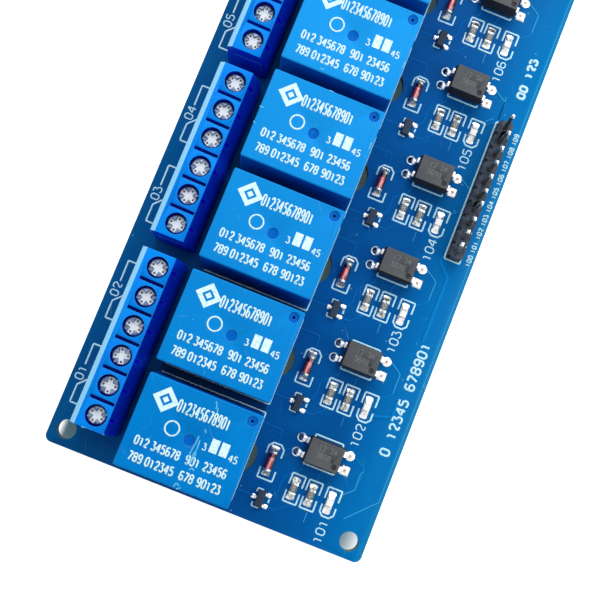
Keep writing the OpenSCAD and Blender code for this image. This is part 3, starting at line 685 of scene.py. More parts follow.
# %% Glass, lamps, residues and shades
diode_glass_red = glass_finish("diode_glass_red", (255, 196, 190), (214, 72, 66),
                               (70, 22, 44))
band_dark = glass_finish("band_dark", (176, 96, 104), (60, 14, 26), (18, 10, 30))
lamp_lens_pale = lens_finish()
lamp_base_pale = ink("lamp_base_pale", (246, 248, 242), (226, 230, 218))
flux_tan = ink("flux_tan", (206, 182, 172), (176, 146, 136))
# painted highlight for the floors of the screw crosses
recess_highlight = ink("recess_highlight", (250, 255, 255), (224, 244, 252))
scuff_and_glint = ink("scuff_and_glint", (96, 192, 234), (20, 154, 228))
# painted shade: the colours of the pits in the screw crosses, the eyelets' open holes and the terminals'
# peep holes
pit_shade = ink("pit_shade", (70, 84, 92), (96, 108, 112))
hole_shade = ink("hole_shade", (0, 30, 84), (0, 44, 104))
peep_shade = ink("peep_shade", (0, 14, 255), (0, 10, 232))
hole_shade.node_tree.nodes["Principled BSDF"].inputs["Specular IOR Level"].default_value = 0.05
print("glass, band, lens, lamp base, flux residue, shades of pits and holes")

# %% [markdown]
# ## Pieces that only need an edge
# No moulding or pressing has a perfectly sharp edge, and a render shows at once when one has.
# The frame's meshes are loose triangles, so a copy is merged first. Then a small bevel rounds
# every edge that turns by more than about thirty degrees, with hardened normals so that the
# flats stay flat. The copy then stands for its node.

# %% Adding a finished piece
def add_piece(name, mesh):
    """Links a finished mesh as a piece of the board."""
    piece = link_object(name, mesh)
    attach(piece, "root")
    return piece


def settle(carrier, name):
    """Turns an object with live modifiers into a plain mesh, and removes the object."""
    shaped = carrier.evaluated_get(bpy.context.evaluated_depsgraph_get())
    mesh = bpy.data.meshes.new_from_object(shaped)
    mesh.name = name
    bpy.data.objects.remove(carrier)
    return mesh


print("piece helpers ready")

# %% Dressing a node
SHARP_TURN = radians(32)


def soften(carrier, width, method):
    """Adds a live bevel of two steps that keeps the flats flat."""
    bevel = carrier.modifiers.new("round", "BEVEL")
    bevel.width = width
    bevel.segments = 2
    bevel.limit_method = method
    bevel.use_clamp_overlap = False
    bevel.harden_normals = True
    return bevel


def dress(name, node, material, round_mm=0.05, shortest_mm=0.0, reshape=None, inlay=None):
    """Merged copy of a frame node with rounded edges, which then stands for the node.

    Edges shorter than the given length, such as those round a hole, stay sharp. An inlay is a
    second material and the test that picks its faces by their middles.
    """
    shape = bmesh.new()
    shape.from_mesh(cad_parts[node].data)
    bmesh.ops.remove_doubles(shape, verts=shape.verts, dist=0.001 * MM)
    if reshape:
        reshape(shape)
    weight = shape.edges.layers.float.new("bevel_weight_edge")
    for edge in shape.edges:
        sharp = edge.calc_face_angle(0.0) > SHARP_TURN
        rounded_edge = sharp and round_mm and edge.calc_length() >= shortest_mm * MM
        edge[weight] = 1.0 if rounded_edge else 0.0
        edge.smooth = rounded_edge or not sharp
    mesh = bpy.data.meshes.new(name)
    shape.to_mesh(mesh)
    shape.free()
    mesh.materials.clear()
    mesh.materials.append(material)
    mesh.polygons.foreach_set("use_smooth", [True] * len(mesh.polygons))
    if inlay:
        mesh.materials.append(inlay[0])
        for face in mesh.polygons:
            face.material_index = int(inlay[1](face.center))
    carrier = link_object(name + "_carrier", mesh)
    if round_mm:
        soften(carrier, round_mm * MM, "WEIGHT")
    piece = add_piece(name, settle(carrier, name))
    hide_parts(node)
    return piece


print("dressing helper ready")

# %% Board, relay cases and their base plates
def make_room_for_print(shape):
    """Lowers a case's top by the thickness of its print, so that the print ends at full height."""
    for corner in shape.verts:
        if corner.co.z > RELAY_TOP - PRINT_FILM:
            corner.co.z -= PRINT_FILM


dress("board_plate", "circuit_board", board_lacquer, round_mm=0.06, shortest_mm=1.0)
for c in CHANNELS:
    dress(f"relay_case_{c}", f"relay_cover_{c}", relay_blue, round_mm=0.04,
          reshape=make_room_for_print)
    dress(f"relay_floor_{c}", f"relay_base_{c}", relay_base_blue, round_mm=0.05)
print("dressed: board plate, 8 relay cases, 8 relay floors")

# %% Terminal housings, cages and pins
housing_low, housing_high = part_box("terminal_block_1")
SLOPE_FACING = Vector((3.4, 0, 1.35)).normalized()
SLOPE_FOOT = Vector((housing_high.x, 0, BOARD_TOP + 6.1 * MM))
PEEP_X = housing_high.x - 0.89 * MM
PEEP_R = 0.45 * MM
PEEP_HEIGHTS = (6.7, 9.0)   # above the board, in mm


def in_peep_hole(middle):
    """Tells the faces of the small round holes: near their axes, and below the slope."""
    below = (middle - SLOPE_FOOT).dot(SLOPE_FACING) < -0.03 * MM
    height = (middle.z - BOARD_TOP) / MM
    return below and abs(middle.x - PEEP_X) < PEEP_R and PEEP_HEIGHTS[0] < height < PEEP_HEIGHTS[1]


for b in BLOCKS:
    # the faces of the peep holes take peep_shade, a colour of painted shade
    dress(f"terminal_housing_{b}", f"terminal_block_{b}", terminal_blue,
          round_mm=0.07, shortest_mm=0.9, inlay=(peep_shade, in_peep_hole))
    dress(f"clamp_cages_{b}", f"terminal_cages_{b}", cage_zinc, round_mm=0.06)
    dress(f"terminal_legs_{b}", f"terminal_pins_{b}", tinned_lead, round_mm=0.04)
print("dressed: 4 housings, 4 sets of cages, 4 sets of legs")

# %% Small driver parts, headers and solder
SMALL_PARTS = [
    ("relay_legs", "relay_pins", tinned_lead, "tinned_lead", 0.04),
    ("optocoupler_cases", "optocoupler_bodies", moulding_grey, "black_moulding", 0.08),
    ("optocoupler_legs", "optocoupler_leads", tinned_lead, "tinned_lead", 0.04),
    ("diode_tubes", "diode_glass", diode_glass_red, "diode_glass", 0.05),
    ("diode_ends", "diode_caps", solder_dull, "tinned_lead", 0.08),
    ("transistor_cases", "transistor_bodies", moulding_dark, "black_moulding", 0.06),
    ("transistor_legs", "transistor_leads", tinned_lead, "tinned_lead", 0.02),
    ("resistor_plates", "resistor_bodies", resistor_black, "resistor_body", 0.03),
    ("resistor_caps", "resistor_ends", solder_dull, "tinned_lead", 0.05),
    ("lamp_windows", "lamp_lenses", lamp_lens_pale, "lamp_white", 0.08),
    ("lamp_seats", "lamp_bases", lamp_base_pale, "lamp_white", 0.04),
    ("signal_strip", "signal_header_strip", header_dark, "header_plastic", 0.06),
    ("signal_posts", "signal_header_pins", pin_tinned, "tinned_lead", 0.03),
    ("power_strip", "power_header_strip", header_dark, "header_plastic", 0.06),
    ("power_posts", "power_header_pins", pin_tinned, "tinned_lead", 0.03),
    ("jumper_shell", "jumper_cap", jumper_black, "jumper_plastic", 0.08),
    ("relay_joints", "relay_solder", solder_bright, "solder", 0.0),
    ("terminal_joints", "terminal_solder", solder_bright, "solder", 0.0),
    ("header_joints", "header_solder", solder_bright, "solder", 0.0),
]
for name, node, material, slot, round_mm in SMALL_PARTS:
    dress(name, node, material, round_mm)
print("dressed:", len(SMALL_PARTS), "sets of small parts")

# %% [markdown]
# ## Laid lines: one tree for print and copper
# White print and copper tracks are the same kind of shape: a thin flat strip that follows a
# drawn line. Drawing every strip by hand would be slow, so a Geometry Nodes tree does it. It
# takes a mesh of bare edges, turns it into curves, rounds the corners and sweeps a small
# rectangle along them. Keeping the curve's normal pointing up keeps the strip flat.

# %% Tree: laid lines
def tree_sockets(tree, inputs):
    """Geometry in and out, with named inputs between them."""
    tree.interface.new_socket("Geometry", in_out="INPUT", socket_type="NodeSocketGeometry")
    for label, kind in inputs:
        tree.interface.new_socket(label, in_out="INPUT", socket_type=kind)
    tree.interface.new_socket("Geometry", in_out="OUTPUT", socket_type="NodeSocketGeometry")
    return tree.nodes.new("NodeGroupInput"), tree.nodes.new("NodeGroupOutput")


def end_tree(tree, shapes, material, leave):
    """Ends a tree: copies become real geometry in their finish."""
    real = put(tree, "GeometryNodeRealizeInstances", {0: shapes})
    finished = put(tree, "GeometryNodeSetMaterial", {"Geometry": real.outputs[0], "Material": material})
    connect(tree, leave, {0: finished.outputs[0]})
    print("tree:", tree.name, "with", len(tree.nodes), "nodes")


laid_lines = bpy.data.node_groups.new("laid_lines", "GeometryNodeTree")
enter, leave = tree_sockets(laid_lines, [
    ("Width", FLOAT), ("Height", FLOAT), ("Corner", FLOAT), ("Material", "NodeSocketMaterial")])
curves = put(laid_lines, "GeometryNodeMeshToCurve", {"Mesh": enter.outputs["Geometry"]})
soft = put(laid_lines, "GeometryNodeFilletCurve", {
    "Curve": curves.outputs[0], "Radius": enter.outputs["Corner"], "Limit Radius": True, "Count": 3},
    mode="POLY")
upright = put(laid_lines, "GeometryNodeSetCurveNormal", {"Curve": soft.outputs[0]}, mode="Z_UP")
section = put(laid_lines, "GeometryNodeCurvePrimitiveQuadrilateral", {
    "Width": enter.outputs["Width"], "Height": enter.outputs["Height"]})
strip = put(laid_lines, "GeometryNodeCurveToMesh", {
    "Curve": upright.outputs[0], "Profile Curve": section.outputs[0], "Fill Caps": True})
end_tree(laid_lines, strip.outputs[0], enter.outputs["Material"], leave)

# %% Growing a tree on a source mesh
def grow(name, source, tree, inputs):
    """Runs a tree on a source mesh and gives the plain mesh that comes out."""
    carrier = link_object(name + "_carrier", source)
    modifier = carrier.modifiers.new("build", "NODES")
    modifier.node_group = tree
    for item in tree.interface.items_tree:
        if item.in_out == "INPUT" and item.name in inputs:
            modifier[item.identifier] = inputs[item.name]
    return settle(carrier, name)


def line_mesh(lines, rings=()):
    """Mesh of bare edges: open lines of points, and rings that close on themselves."""
    points, joins = [], []
    for places in (*lines, *rings):
        first = len(points)
        points += [tuple(place) for place in places]
        joins += [(i, i + 1) for i in range(first, len(points) - 1)]
        if places in rings:
            joins.append((len(points) - 1, first))
    mesh = bpy.data.meshes.new("drawn_lines")
    mesh.from_pydata(points, joins, [])
    return mesh


def lay_lines(name, lines, width_mm, material, height=0.03 * MM, corner_mm=0.15, rings=()):
    """Piece made of flat strips along drawn lines."""
    inputs = {"Width": width_mm * MM, "Height": height, "Corner": corner_mm * MM,
              "Material": material}
    return add_piece(name, grow(name, line_mesh(lines, rings), laid_lines, inputs))


print("growing helpers ready")

# %% Stamped blocks
def closed_mesh(shape, name, sharp_over=None):
    """Plain mesh with its faces outward; smooth up to an angle in degrees, if one is given."""
    bmesh.ops.recalc_face_normals(shape, faces=shape.faces)
    mesh = bpy.data.meshes.new(name)
    shape.to_mesh(mesh)
    shape.free()
    if sharp_over:
        mesh.shade_smooth()
        mesh.set_sharp_from_angle(angle=radians(sharp_over))
    return mesh


def stamped(name, outlines, height):
    """Mesh of closed flat blocks; each outline is a list of (x, y) in millimetres."""
    shape = bmesh.new()
    for outline in outlines:
        rings = [[shape.verts.new((x * MM, y * MM, z)) for x, y in outline] for z in (-height, 0.0)]
        shape.faces.new(rings[0][::-1])
        shape.faces.new(rings[1])
        for i in range(len(outline)):
            j = (i + 1) % len(outline)
            shape.faces.new((rings[0][i], rings[0][j], rings[1][j], rings[1][i]))
    return closed_mesh(shape, name)


def box_outline(x0, y0, x1, y1):
    """Outline of a rectangle."""
    return [(x0, y0), (x1, y0), (x1, y1), (x0, y1)]


print("stamping helpers ready")

# %% [markdown]
# ## Plain numerals as strokes
# The board's labels are numbers only. Each numeral is a few straight strokes in a box 0.6 wide
# and 1 high, so the same tree that lays a line can write it. The strokes' corners come out
# round, as they do when ink is pressed through a screen.

# %% Numerals
LAYER = 0.003 * MM        # strokes that cross lie a hair above each other
STROKES = {
    "0": [[(.3, 0), (.45, 0), (.6, .2), (.6, .8), (.45, 1), (.15, 1), (0, .8), (0, .2), (.15, 0), (.3, 0)]],
    "1": [[(.1, .8), (.32, 1), (.32, 0)]],
    "2": [[(0, .8), (.15, 1), (.45, 1), (.6, .82), (.6, .62), (0, 0), (.6, 0)]],
    "3": [[(0, 1), (.58, 1), (.25, .58), (.45, .56), (.6, .4), (.6, .15), (.45, 0), (.15, 0), (0, .14)]],
    "4": [[(.46, 0), (.46, 1)], [(.4, .98), (0, .34)], [(-.04, .3), (.64, .3)]],
    "5": [[(.56, 1), (.06, 1), (.02, .56), (.4, .6), (.6, .44), (.6, .16), (.45, 0), (.15, 0), (0, .12)]],
    "6": [[(.55, .9), (.4, 1), (.15, 1), (0, .8), (0, .2), (.15, 0), (.45, 0), (.6, .18), (.6, .38),
           (.45, .55)], [(.45, .55), (.15, .55), (0, .4)]],
    "7": [[(0, 1), (.6, 1), (.2, 0)]],
    "8": [[(.15, .54), (0, .7), (0, .86), (.15, 1), (.45, 1), (.6, .86), (.6, .7), (.45, .54)],
          [(.15, .54), (0, .38), (0, .14), (.15, 0), (.45, 0), (.6, .14), (.6, .38), (.45, .54)],
          [(.15, .54), (.45, .54)]],
    "9": [[(.05, .1), (.2, 0), (.45, 0), (.6, .2), (.6, .8), (.45, 1), (.15, 1), (0, .82), (0, .62),
           (.15, .45)], [(.15, .45), (.45, .45), (.6, .6)]],
}


def numerals(text, origin, height_mm, pitch=0.8, turn=0.0, squeeze=1.0):
    """Strokes of a number that starts at a point; pitch and squeeze are shares of the height."""
    run = Vector((cos(turn), sin(turn), 0))
    rise = Vector((-sin(turn), cos(turn), 0))
    lines = []
    for place, sign in enumerate(text):
        for layer, stroke in enumerate(STROKES.get(sign, [])):
            lift = Vector((0, 0, layer * LAYER))
            lines.append([origin + lift + height_mm * MM * (run * (x * squeeze + place * pitch) + rise * y)
                          for x, y in stroke])
    return lines


QUARTER = pi / 2
print("numerals:", " ".join(sorted(STROKES)))

# %% [markdown]
# ## White print on the board
# The print shows where each part goes: a box round each relay, open brackets round the chip
# parts, bars beside the optocouplers, corner marks at the transistors. One function draws the
# print of one channel, and a loop repeats it for all eight.

# %% Print of one channel
PRINT_Z = BOARD_TOP + 0.01 * MM


def chip_brackets(channel, x0, x1, cut):
    """Two open brackets round a chip part; the lower one may have cut corners."""
    low, high, gap_low, gap_high = -4.65, 0.24, -2.75, -1.72
    lower = [(x0, gap_low), (x0, low + cut), (x0 + cut, low), (x1 - cut, low), (x1, low + cut),
             (x1, gap_low)]
    if not cut:
        lower = [(x0, gap_low), (x0, low), (x1, low), (x1, gap_low)]
    upper = [(x0, gap_high), (x0, high), (x1, high), (x1, gap_high)]
    return [by_relay(channel, places, PRINT_Z) for places in (lower, upper)]


def diode_brackets(channel):
    """Brackets round a diode; the far one has cut corners at the banded end."""
    x0, x1, cut = 2.6, 5.25, 0.65
    near = [(x0, -0.8), (x0, -2.55), (x1, -2.55), (x1, -0.8)]
    far = [(x0, 1.6), (x0, 3.65 - cut), (x0 + cut, 3.65), (x1 - cut, 3.65), (x1, 3.65 - cut), (x1, 1.6)]
    return [by_relay(channel, places, PRINT_Z) for places in (near, far)]


RELAY_BOX = ((-18.6, -7.7), (0.1, -7.7), (0.1, 7.7), (-18.6, 7.7))
OPTOCOUPLER_BARS = ((9.25, 6.75), (9.25, 7.52), (14.2, 7.52), (14.2, 6.9)), (
    (9.0, 2.85), (9.0, 2.3), (14.4, 2.3), (14.4, 2.7))
TRANSISTOR_CORNERS = ((3.55, -4.85), (3.55, -4.22), (4.6, -4.22)), (
    (3.5, -6.6), (3.5, -7.15), (3.62, -7.27), (4.7, -7.27)), ((5.95, -5.3), (5.95, -5.95))


def channel_print(channel):
    """All the printed lines that belong to one relay."""
    lines = [by_relay(channel, RELAY_BOX, PRINT_Z)] + diode_brackets(channel)
    for x0, x1, cut in ((8.0, 10.32, 0.0), (11.0, 13.38, 0.0), (14.4, 16.85, 0.62)):
        lines += chip_brackets(channel, x0, x1, cut)
    return lines + [by_relay(channel, places, PRINT_Z) for places in OPTOCOUPLER_BARS + TRANSISTOR_CORNERS]


board_lines = [line for c in CHANNELS for line in channel_print(c)]
print("printed lines for the channels:", len(board_lines))

# %% Print of the terminals and headers
WIRE_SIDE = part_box("terminal_block_1")[0].x
BLOCK_MIDDLES = {b: sum(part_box(f"terminal_screws_{b}"), Vector()).y / 2 for b in BLOCKS}
WAY_PITCH = 5 * MM
power_low, power_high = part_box("power_header_strip")


def contact_symbol(middle_y):
    """Printed contact symbol on the wire side of three ways, round their middle one."""
    def line(*places):
        return [Vector((board_low.x + x * MM, middle_y + y * MM, PRINT_Z)) for x, y in places]
    face = (WIRE_SIDE - board_low.x) / MM
    return [line((face, 4.95), (1.55, 4.95), (1.58, 1.27)),
            line((face, 0.35), (1.62, -2.25), (1.6, -5.3), (face, -5.3))]


def foot_box(low, high):
    """Ring of a printed box round a part's foot."""
    g = 0.12 * MM
    corners = [(low.x - g, low.y - g), (high.x + g, low.y - g), (high.x + g, high.y + g),
               (low.x - g, high.y + g)]
    return [Vector((x, y, PRINT_Z)) for x, y in corners]


THREE_WAYS = {2 * b - 2 + half: BLOCK_MIDDLES[b] + offset * WAY_PITCH
              for b in BLOCKS for half, offset in ((1, -1.5), (2, 1.5))}
for c in CHANNELS:
    board_lines += contact_symbol(THREE_WAYS[c])
foot_boxes = [foot_box(signal_low, signal_high), foot_box(power_low, power_high)]
LINE_WIDE = 0.29
lay_lines("board_print", board_lines, LINE_WIDE, silk_white, rings=foot_boxes)
print("board print laid:", len(board_lines) + len(foot_boxes), "lines")

# %% Numbers on the board
numbers = []
for c in CHANNELS:
    foot = driver_place(c, 16.48, -9.0, PRINT_Z)
    numbers += numerals(f"10{c}", foot, 1.45, pitch=0.94, turn=QUARTER, squeeze=1.12)
    side = Vector((board_low.x + 2.1 * MM, THREE_WAYS[c] - 1.35 * MM, PRINT_Z))
    numbers += numerals(f"0{c}", side, 1.35, pitch=0.95, turn=QUARTER, squeeze=1.1)
lay_lines("board_numbers", numbers, 0.22, silk_white, corner_mm=0.2)

titles = numerals("0 12345 678901", board_place(54.1, 18.2, PRINT_Z), 1.55, pitch=0.94, turn=QUARTER,
                  squeeze=1.05)
bold_title = numerals("00 123", board_place(53.85, 84.25, PRINT_Z), 1.22, pitch=1.06, turn=QUARTER,
                      squeeze=1.25)
lay_lines("bold_title", bold_title, 0.46, silk_white, corner_mm=0.25)
lay_lines("board_titles", titles, 0.36, silk_white, corner_mm=0.25)

pin_numbers = []
for strip_end, first, count in ((signal_low.y, 100, 10), (power_low.y, 200, 3)):
    for i in range(count):
        foot = Vector((board_low.x + 55.42 * MM, strip_end + (i + 0.5) * PIN_PITCH - 1.25 * MM, PRINT_Z))
        pin_numbers += numerals(str(first + i), foot, 0.72, pitch=1.0, turn=QUARTER, squeeze=1.05)
lay_lines("pin_numbers", pin_numbers, 0.21, silk_white, corner_mm=0.1)
print("numbers laid:", len(numbers), "and", len(pin_numbers), "strokes")

# %% [markdown]
# ## Copper under the lacquer
# Tracks show as slightly raised, lighter bands, because copper lies under the blue lacquer
# there. The same laid-line tree makes them, wider and lower than the print. The thin bright
# lines are the rims of the large copper area along the header side; their pale colour is a
# painted highlight on the step of the lacquer.

# %% Tracks on the top
TRACK_HEIGHT = 0.016 * MM
TRACK_Z = BOARD_TOP + 0.005 * MM
NARROW_TRACKS = (
    ((0.4, 6.1), (3.8, 6.1), (3.8, 3.2)),
    ((0.4, -5.7), (3.0, -5.7)),
    ((5.9, -6.7), (7.4, -6.7), (9.0, -5.2), (9.0, -4.2)),
    ((6.0, -4.6), (6.7, -3.6), (6.7, -1.0), (9.0, 1.2), (9.0, 2.2)),
    ((7.0, 3.6), (6.0, 3.6), (4.9, 2.6)),
    ((12.1, -0.7), (12.1, 1.6), (13.6, 3.1)))
LAMP_TRACK = (16.75, 6.3), (18.8, 5.0), (18.7, 1.3), (17.0, -0.2)
HEADER_TRACKS = ((52.6, 38.5), (52.6, 50.0), (50.2, 52.4)), ((48.9, 23.4), (52.3, 24.4), (52.3, 27.5))
narrow = [by_relay(c, places, TRACK_Z) for c in CHANNELS for places in NARROW_TRACKS]
middling = [by_relay(c, LAMP_TRACK, TRACK_Z) for c in CHANNELS]
wide = [on_board(places, TRACK_Z) for places in HEADER_TRACKS]
lay_lines("thin_tracks", narrow, 0.35, copper_lacquer, TRACK_HEIGHT, 0.5)
lay_lines("lamp_tracks", middling, 0.4, copper_lacquer, TRACK_HEIGHT, 0.6)
lay_lines("header_tracks", wide, 0.7, copper_lacquer, TRACK_HEIGHT, 0.6)
print("tracks:", len(narrow), "thin,", len(middling) + len(wide), "broad")

# %% Bright rims of the copper area
LONG_RIMS = (
    ((50.9, 6.0), (55.4, 10.6), (55.4, 127.4), (50.9, 132.0)),
    ((50.95, 83.5), (51.05, 81.75), (51.05, 79.0)),
    ((49.1, 78.1), (50.2, 79.1)),
    ((49.4, 61.6), (50.0, 61.0)))
NEAR_RIM = (17.0, -0.2), (18.6, 1.2), (18.55, 4.2), (18.95, 4.6)
LAMP_RIM = (16.75, 6.4), (18.75, 5.1), (18.75, 1.7)
CHIP_RIM = (12.55, -5.05), (12.57, -6.75)
rims = [on_board(places, TRACK_Z + LAYER) for places in LONG_RIMS]
for c in CHANNELS:
    for places in (NEAR_RIM if c == 1 else LAMP_RIM, CHIP_RIM):
        rims.append(by_relay(c, places, TRACK_Z + LAYER))
lay_lines("copper_rims", rims, 0.14, ridge_highlight_lacquer, TRACK_HEIGHT, 0.3)
print("rims:", len(rims))

# %% [markdown]
# ## Shapes on points: one tree for everything that repeats
# Solder, pads, screws and diode bands repeat dozens of times. A second tree puts one shape on
# every point of a mesh. Each point carries two attributes, how far the shape is turned and how
# large it is on each axis, so one solder shape can serve many pads.

# %% Tree: placed shapes
placed_shapes = bpy.data.node_groups.new("placed_shapes", "GeometryNodeTree")
enter, leave = tree_sockets(placed_shapes, [
    ("Shape", "NodeSocketObject"), ("Material", "NodeSocketMaterial")])
shape_info = put(placed_shapes, "GeometryNodeObjectInfo", {"Object": enter.outputs["Shape"]})
turn_of = put(placed_shapes, "GeometryNodeInputNamedAttribute", {"Name": "turn"}, data_type="FLOAT")
size_of = put(placed_shapes, "GeometryNodeInputNamedAttribute", {"Name": "size"}, data_type="FLOAT_VECTOR")
about_z = put(placed_shapes, "ShaderNodeCombineXYZ", {"Z": turn_of.outputs["Attribute"]})
rotation = put(placed_shapes, "FunctionNodeEulerToRotation", {0: about_z.outputs[0]})
copies = put(placed_shapes, "GeometryNodeInstanceOnPoints", {
    "Points": enter.outputs["Geometry"], "Instance": shape_info.outputs["Geometry"],
    "Rotation": rotation.outputs[0], "Scale": size_of.outputs["Attribute"]})
end_tree(placed_shapes, copies.outputs[0], enter.outputs["Material"], leave)

# %% Putting a shape on points
def point_mesh(rows):
    """Mesh of loose points; a row is a place, a turn and a size on each axis."""
    mesh = bpy.data.meshes.new("points")
    mesh.from_pydata([tuple(place) for place, turn, size in rows], [], [])
    turns = mesh.attributes.new("turn", "FLOAT", "POINT")
    sizes = mesh.attributes.new("size", "FLOAT_VECTOR", "POINT")
    for i, (place, turn, size) in enumerate(rows):
        turns.data[i].value = turn
        sizes.data[i].vector = size
    return mesh


def unturned(places, size=(MM, MM, MM)):
    """Rows for shapes of one size that stand unturned."""
    return [(place, 0.0, size) for place in places]


def place_shape(name, shape, rows, material):
    """Piece made of one shape on every point."""
    holder = link_object(name + "_shape", shape)
    mesh = grow(name, point_mesh(rows), placed_shapes, {"Shape": holder, "Material": material})
    bpy.data.objects.remove(holder)
    return add_piece(name, mesh)


print("placing helpers ready")

# %% [markdown]
# ## Turned shapes and solder
# A turned shape needs only its half outline, swept round the Z axis. Solder is different: molten
# metal wets the pad and climbs the part, so a chip's joint is a hollow slope from the top of its
# metal end down to the rim of the pad. A grid of points with a curved height gives that slope.

# %% Turned shapes
def turned(name, outline, steps=32, hollow=False):
    """Closed mesh from a half outline of (radius, height), swept round the Z axis."""
    shape = bmesh.new()
    rings = []
    for radius, height in outline:
        count = 1 if radius == 0 else steps
        rings.append([shape.verts.new((radius * cos(2 * pi * i / steps), radius * sin(2 * pi * i / steps),
                                       height)) for i in range(count)])
    pairs = list(zip(rings, rings[1:]))
    if hollow:
        pairs.append((rings[-1], rings[0]))
    for lower, upper in pairs:
        for i in range(steps):
            j = (i + 1) % steps
            below = (lower[i % len(lower)], lower[j % len(lower)])
            above = (upper[j % len(upper)], upper[i % len(upper)])
            shape.faces.new(list(dict.fromkeys(below + above)))
    return closed_mesh(shape, name, sharp_over=35)


print("turned shapes ready")

# %% Heaps of solder
HEAP_FOOT = -0.05         # a heap's foot sinks a little into its pad


def heap(name, height_at, columns=8, rows=8, rounding=0.16):
    """Closed unit heap over a square footprint: the top follows a height, the foot is flat."""
    shape = bmesh.new()
    top, foot = {}, {}
    for i in range(columns + 1):
        for j in range(rows + 1):
            u, v = 2 * i / columns - 1, 2 * j / rows - 1
            x = u * (1 - rounding * v ** 4) / 2
            y = v * (1 - rounding * u ** 4) / 2
            top[i, j] = shape.verts.new((x, y, height_at(u, v)))
            if i in (0, columns) or j in (0, rows):
                foot[i, j] = shape.verts.new((x, y, HEAP_FOOT))
    for i in range(columns):
        for j in range(rows):
            shape.faces.new([top[i, j], top[i + 1, j], top[i + 1, j + 1], top[i, j + 1]])
    rim = ([(i, 0) for i in range(columns)] + [(columns, j) for j in range(rows)]
           + [(i, rows) for i in range(columns, 0, -1)] + [(0, j) for j in range(rows, 0, -1)])
    for here, there in zip(rim, rim[1:] + rim[:1]):
        shape.faces.new([foot[here], foot[there], top[there], top[here]])
    shape.faces.new([foot[place] for place in reversed(rim)])
    return closed_mesh(shape, name, sharp_over=60)


def pillow_height(u, v):
    """Solder on a flat pad: a low dome that falls to the pad's rim."""
    return 0.08 + 0.92 * (1 - abs(u) ** 3) * (1 - abs(v) ** 3)


def flat_height(u, v):
    """Solder that fills a square pad: level in the middle, with a short fall to its rim."""
    return 0.2 + 0.8 * (1 - abs(u) ** 8) * (1 - abs(v) ** 8)


def slope_height(u, v):
    """Solder against a chip's end: high at v = -1, hollow, thin at the pad's rim."""
    climb = ((1 - v) / 2) ** 1.6
    return 0.08 + 0.92 * climb * (1 - 0.55 * abs(u) ** 4)


print("heaps ready: pillow, flat pillow, slope")

# %% Solder at the chip parts
pillow = heap("pillow", pillow_height)
slope = heap("slope", slope_height)
flat_pillow = heap("flat_pillow", flat_height, rounding=0.03)


# where a chip's two ends lie, from the middle line of its relay, and the width, length and
# height of the joint at each of them, all in mm
RESISTOR_ENDS, RESISTOR_JOINT = (-3.2, -1.2), (1.45, 0.95, 0.48)
DIODE_ENDS, DIODE_JOINT = (-1.1, 2.4), (1.55, 0.85, 0.9)
LAMP_ENDS, LAMP_JOINT = (-2.84, -1.56), (1.34, 1.31, 0.66)
DIODE_X = 3.75


def slopes(x, ends, joint):
    """Two rows of points, one for each end of a chip that lies along the board."""
    near_y, far_y = ends
    half = joint[1] / 2
    size = [side * MM for side in joint]
    return [row for c in CHANNELS for row in (
        (driver_place(c, x, far_y + half), 0.0, size),
        (driver_place(c, x, near_y - half), pi, size))]


chip_slopes = slopes(9.0, RESISTOR_ENDS, RESISTOR_JOINT) + slopes(12.05, RESISTOR_ENDS, RESISTOR_JOINT)
chip_slopes += slopes(DIODE_X, DIODE_ENDS, DIODE_JOINT)
lamp_slopes = slopes(15.45, LAMP_ENDS, LAMP_JOINT)
place_shape("chip_solder", slope, chip_slopes, solder_dull)
place_shape("lamp_solder", slope, lamp_slopes, solder_bright)
print("solder slopes:", len(chip_slopes) + len(lamp_slopes))

# %% Solder at the leads
TRANSISTOR_LEADS = (3.3, -5.7), (5.7, -4.75), (5.7, -6.65)
OPTOCOUPLER_LEADS = (7.75, 3.63), (7.75, 6.17), (15.25, 3.63), (15.25, 6.17)
lead_pads = []
for c in CHANNELS:
    for leads, size in ((TRANSISTOR_LEADS, (0.95, 0.85, 0.2)), (OPTOCOUPLER_LEADS, (1.15, 1.15, 0.36))):
        lead_pads += unturned(by_relay(c, leads, BOARD_TOP), [side * MM for side in size])
place_shape("lead_solder", pillow, lead_pads, solder_bright)
print("lead pads:", len(lead_pads))

# %% [markdown]
# ## Plated holes beside the optocouplers
# Each optocoupler sits on long pads that end in plated holes. On the relay side the holes stayed
# open, so a tinned ring round a dark hole is seen. On the other side solder filled them: one pad
# is round and one is square, and a spot of baked flux is left in the middle.

# %% Open and filled holes
BOARD_THICK = (BOARD_TOP - BOARD_UNDER) / MM
PAD_R, RING_R, RIM_R, HOLE_R, FILM = 0.86, 0.79, 0.58, 0.4, 0.035
eyelet = turned("eyelet", [
    (RING_R, -0.01), (RING_R, FILM + 0.05), (RING_R - 0.06, FILM + 0.06), (RIM_R, FILM),
    (RIM_R, -0.01)], hollow=True)
barrel = turned("barrel", [
    (RIM_R, -0.01), (RIM_R, 0.02), (HOLE_R, -0.02), (HOLE_R, -BOARD_THICK - FILM),
    (RING_R, -BOARD_THICK - FILM), (RING_R, 0.01 - BOARD_THICK), (HOLE_R + 0.04, 0.01 - BOARD_THICK),
    (HOLE_R + 0.04, -0.03)], hollow=True)
dome = turned("dome", [(PAD_R, -0.02), (PAD_R, 0.05), (0.8, 0.16), (0.55, 0.26), (0.28, 0.3), (0, 0.31)])
spot = turned("spot", [(0.3, -0.02), (0.28, 0.03), (0, 0.04)], steps=16)

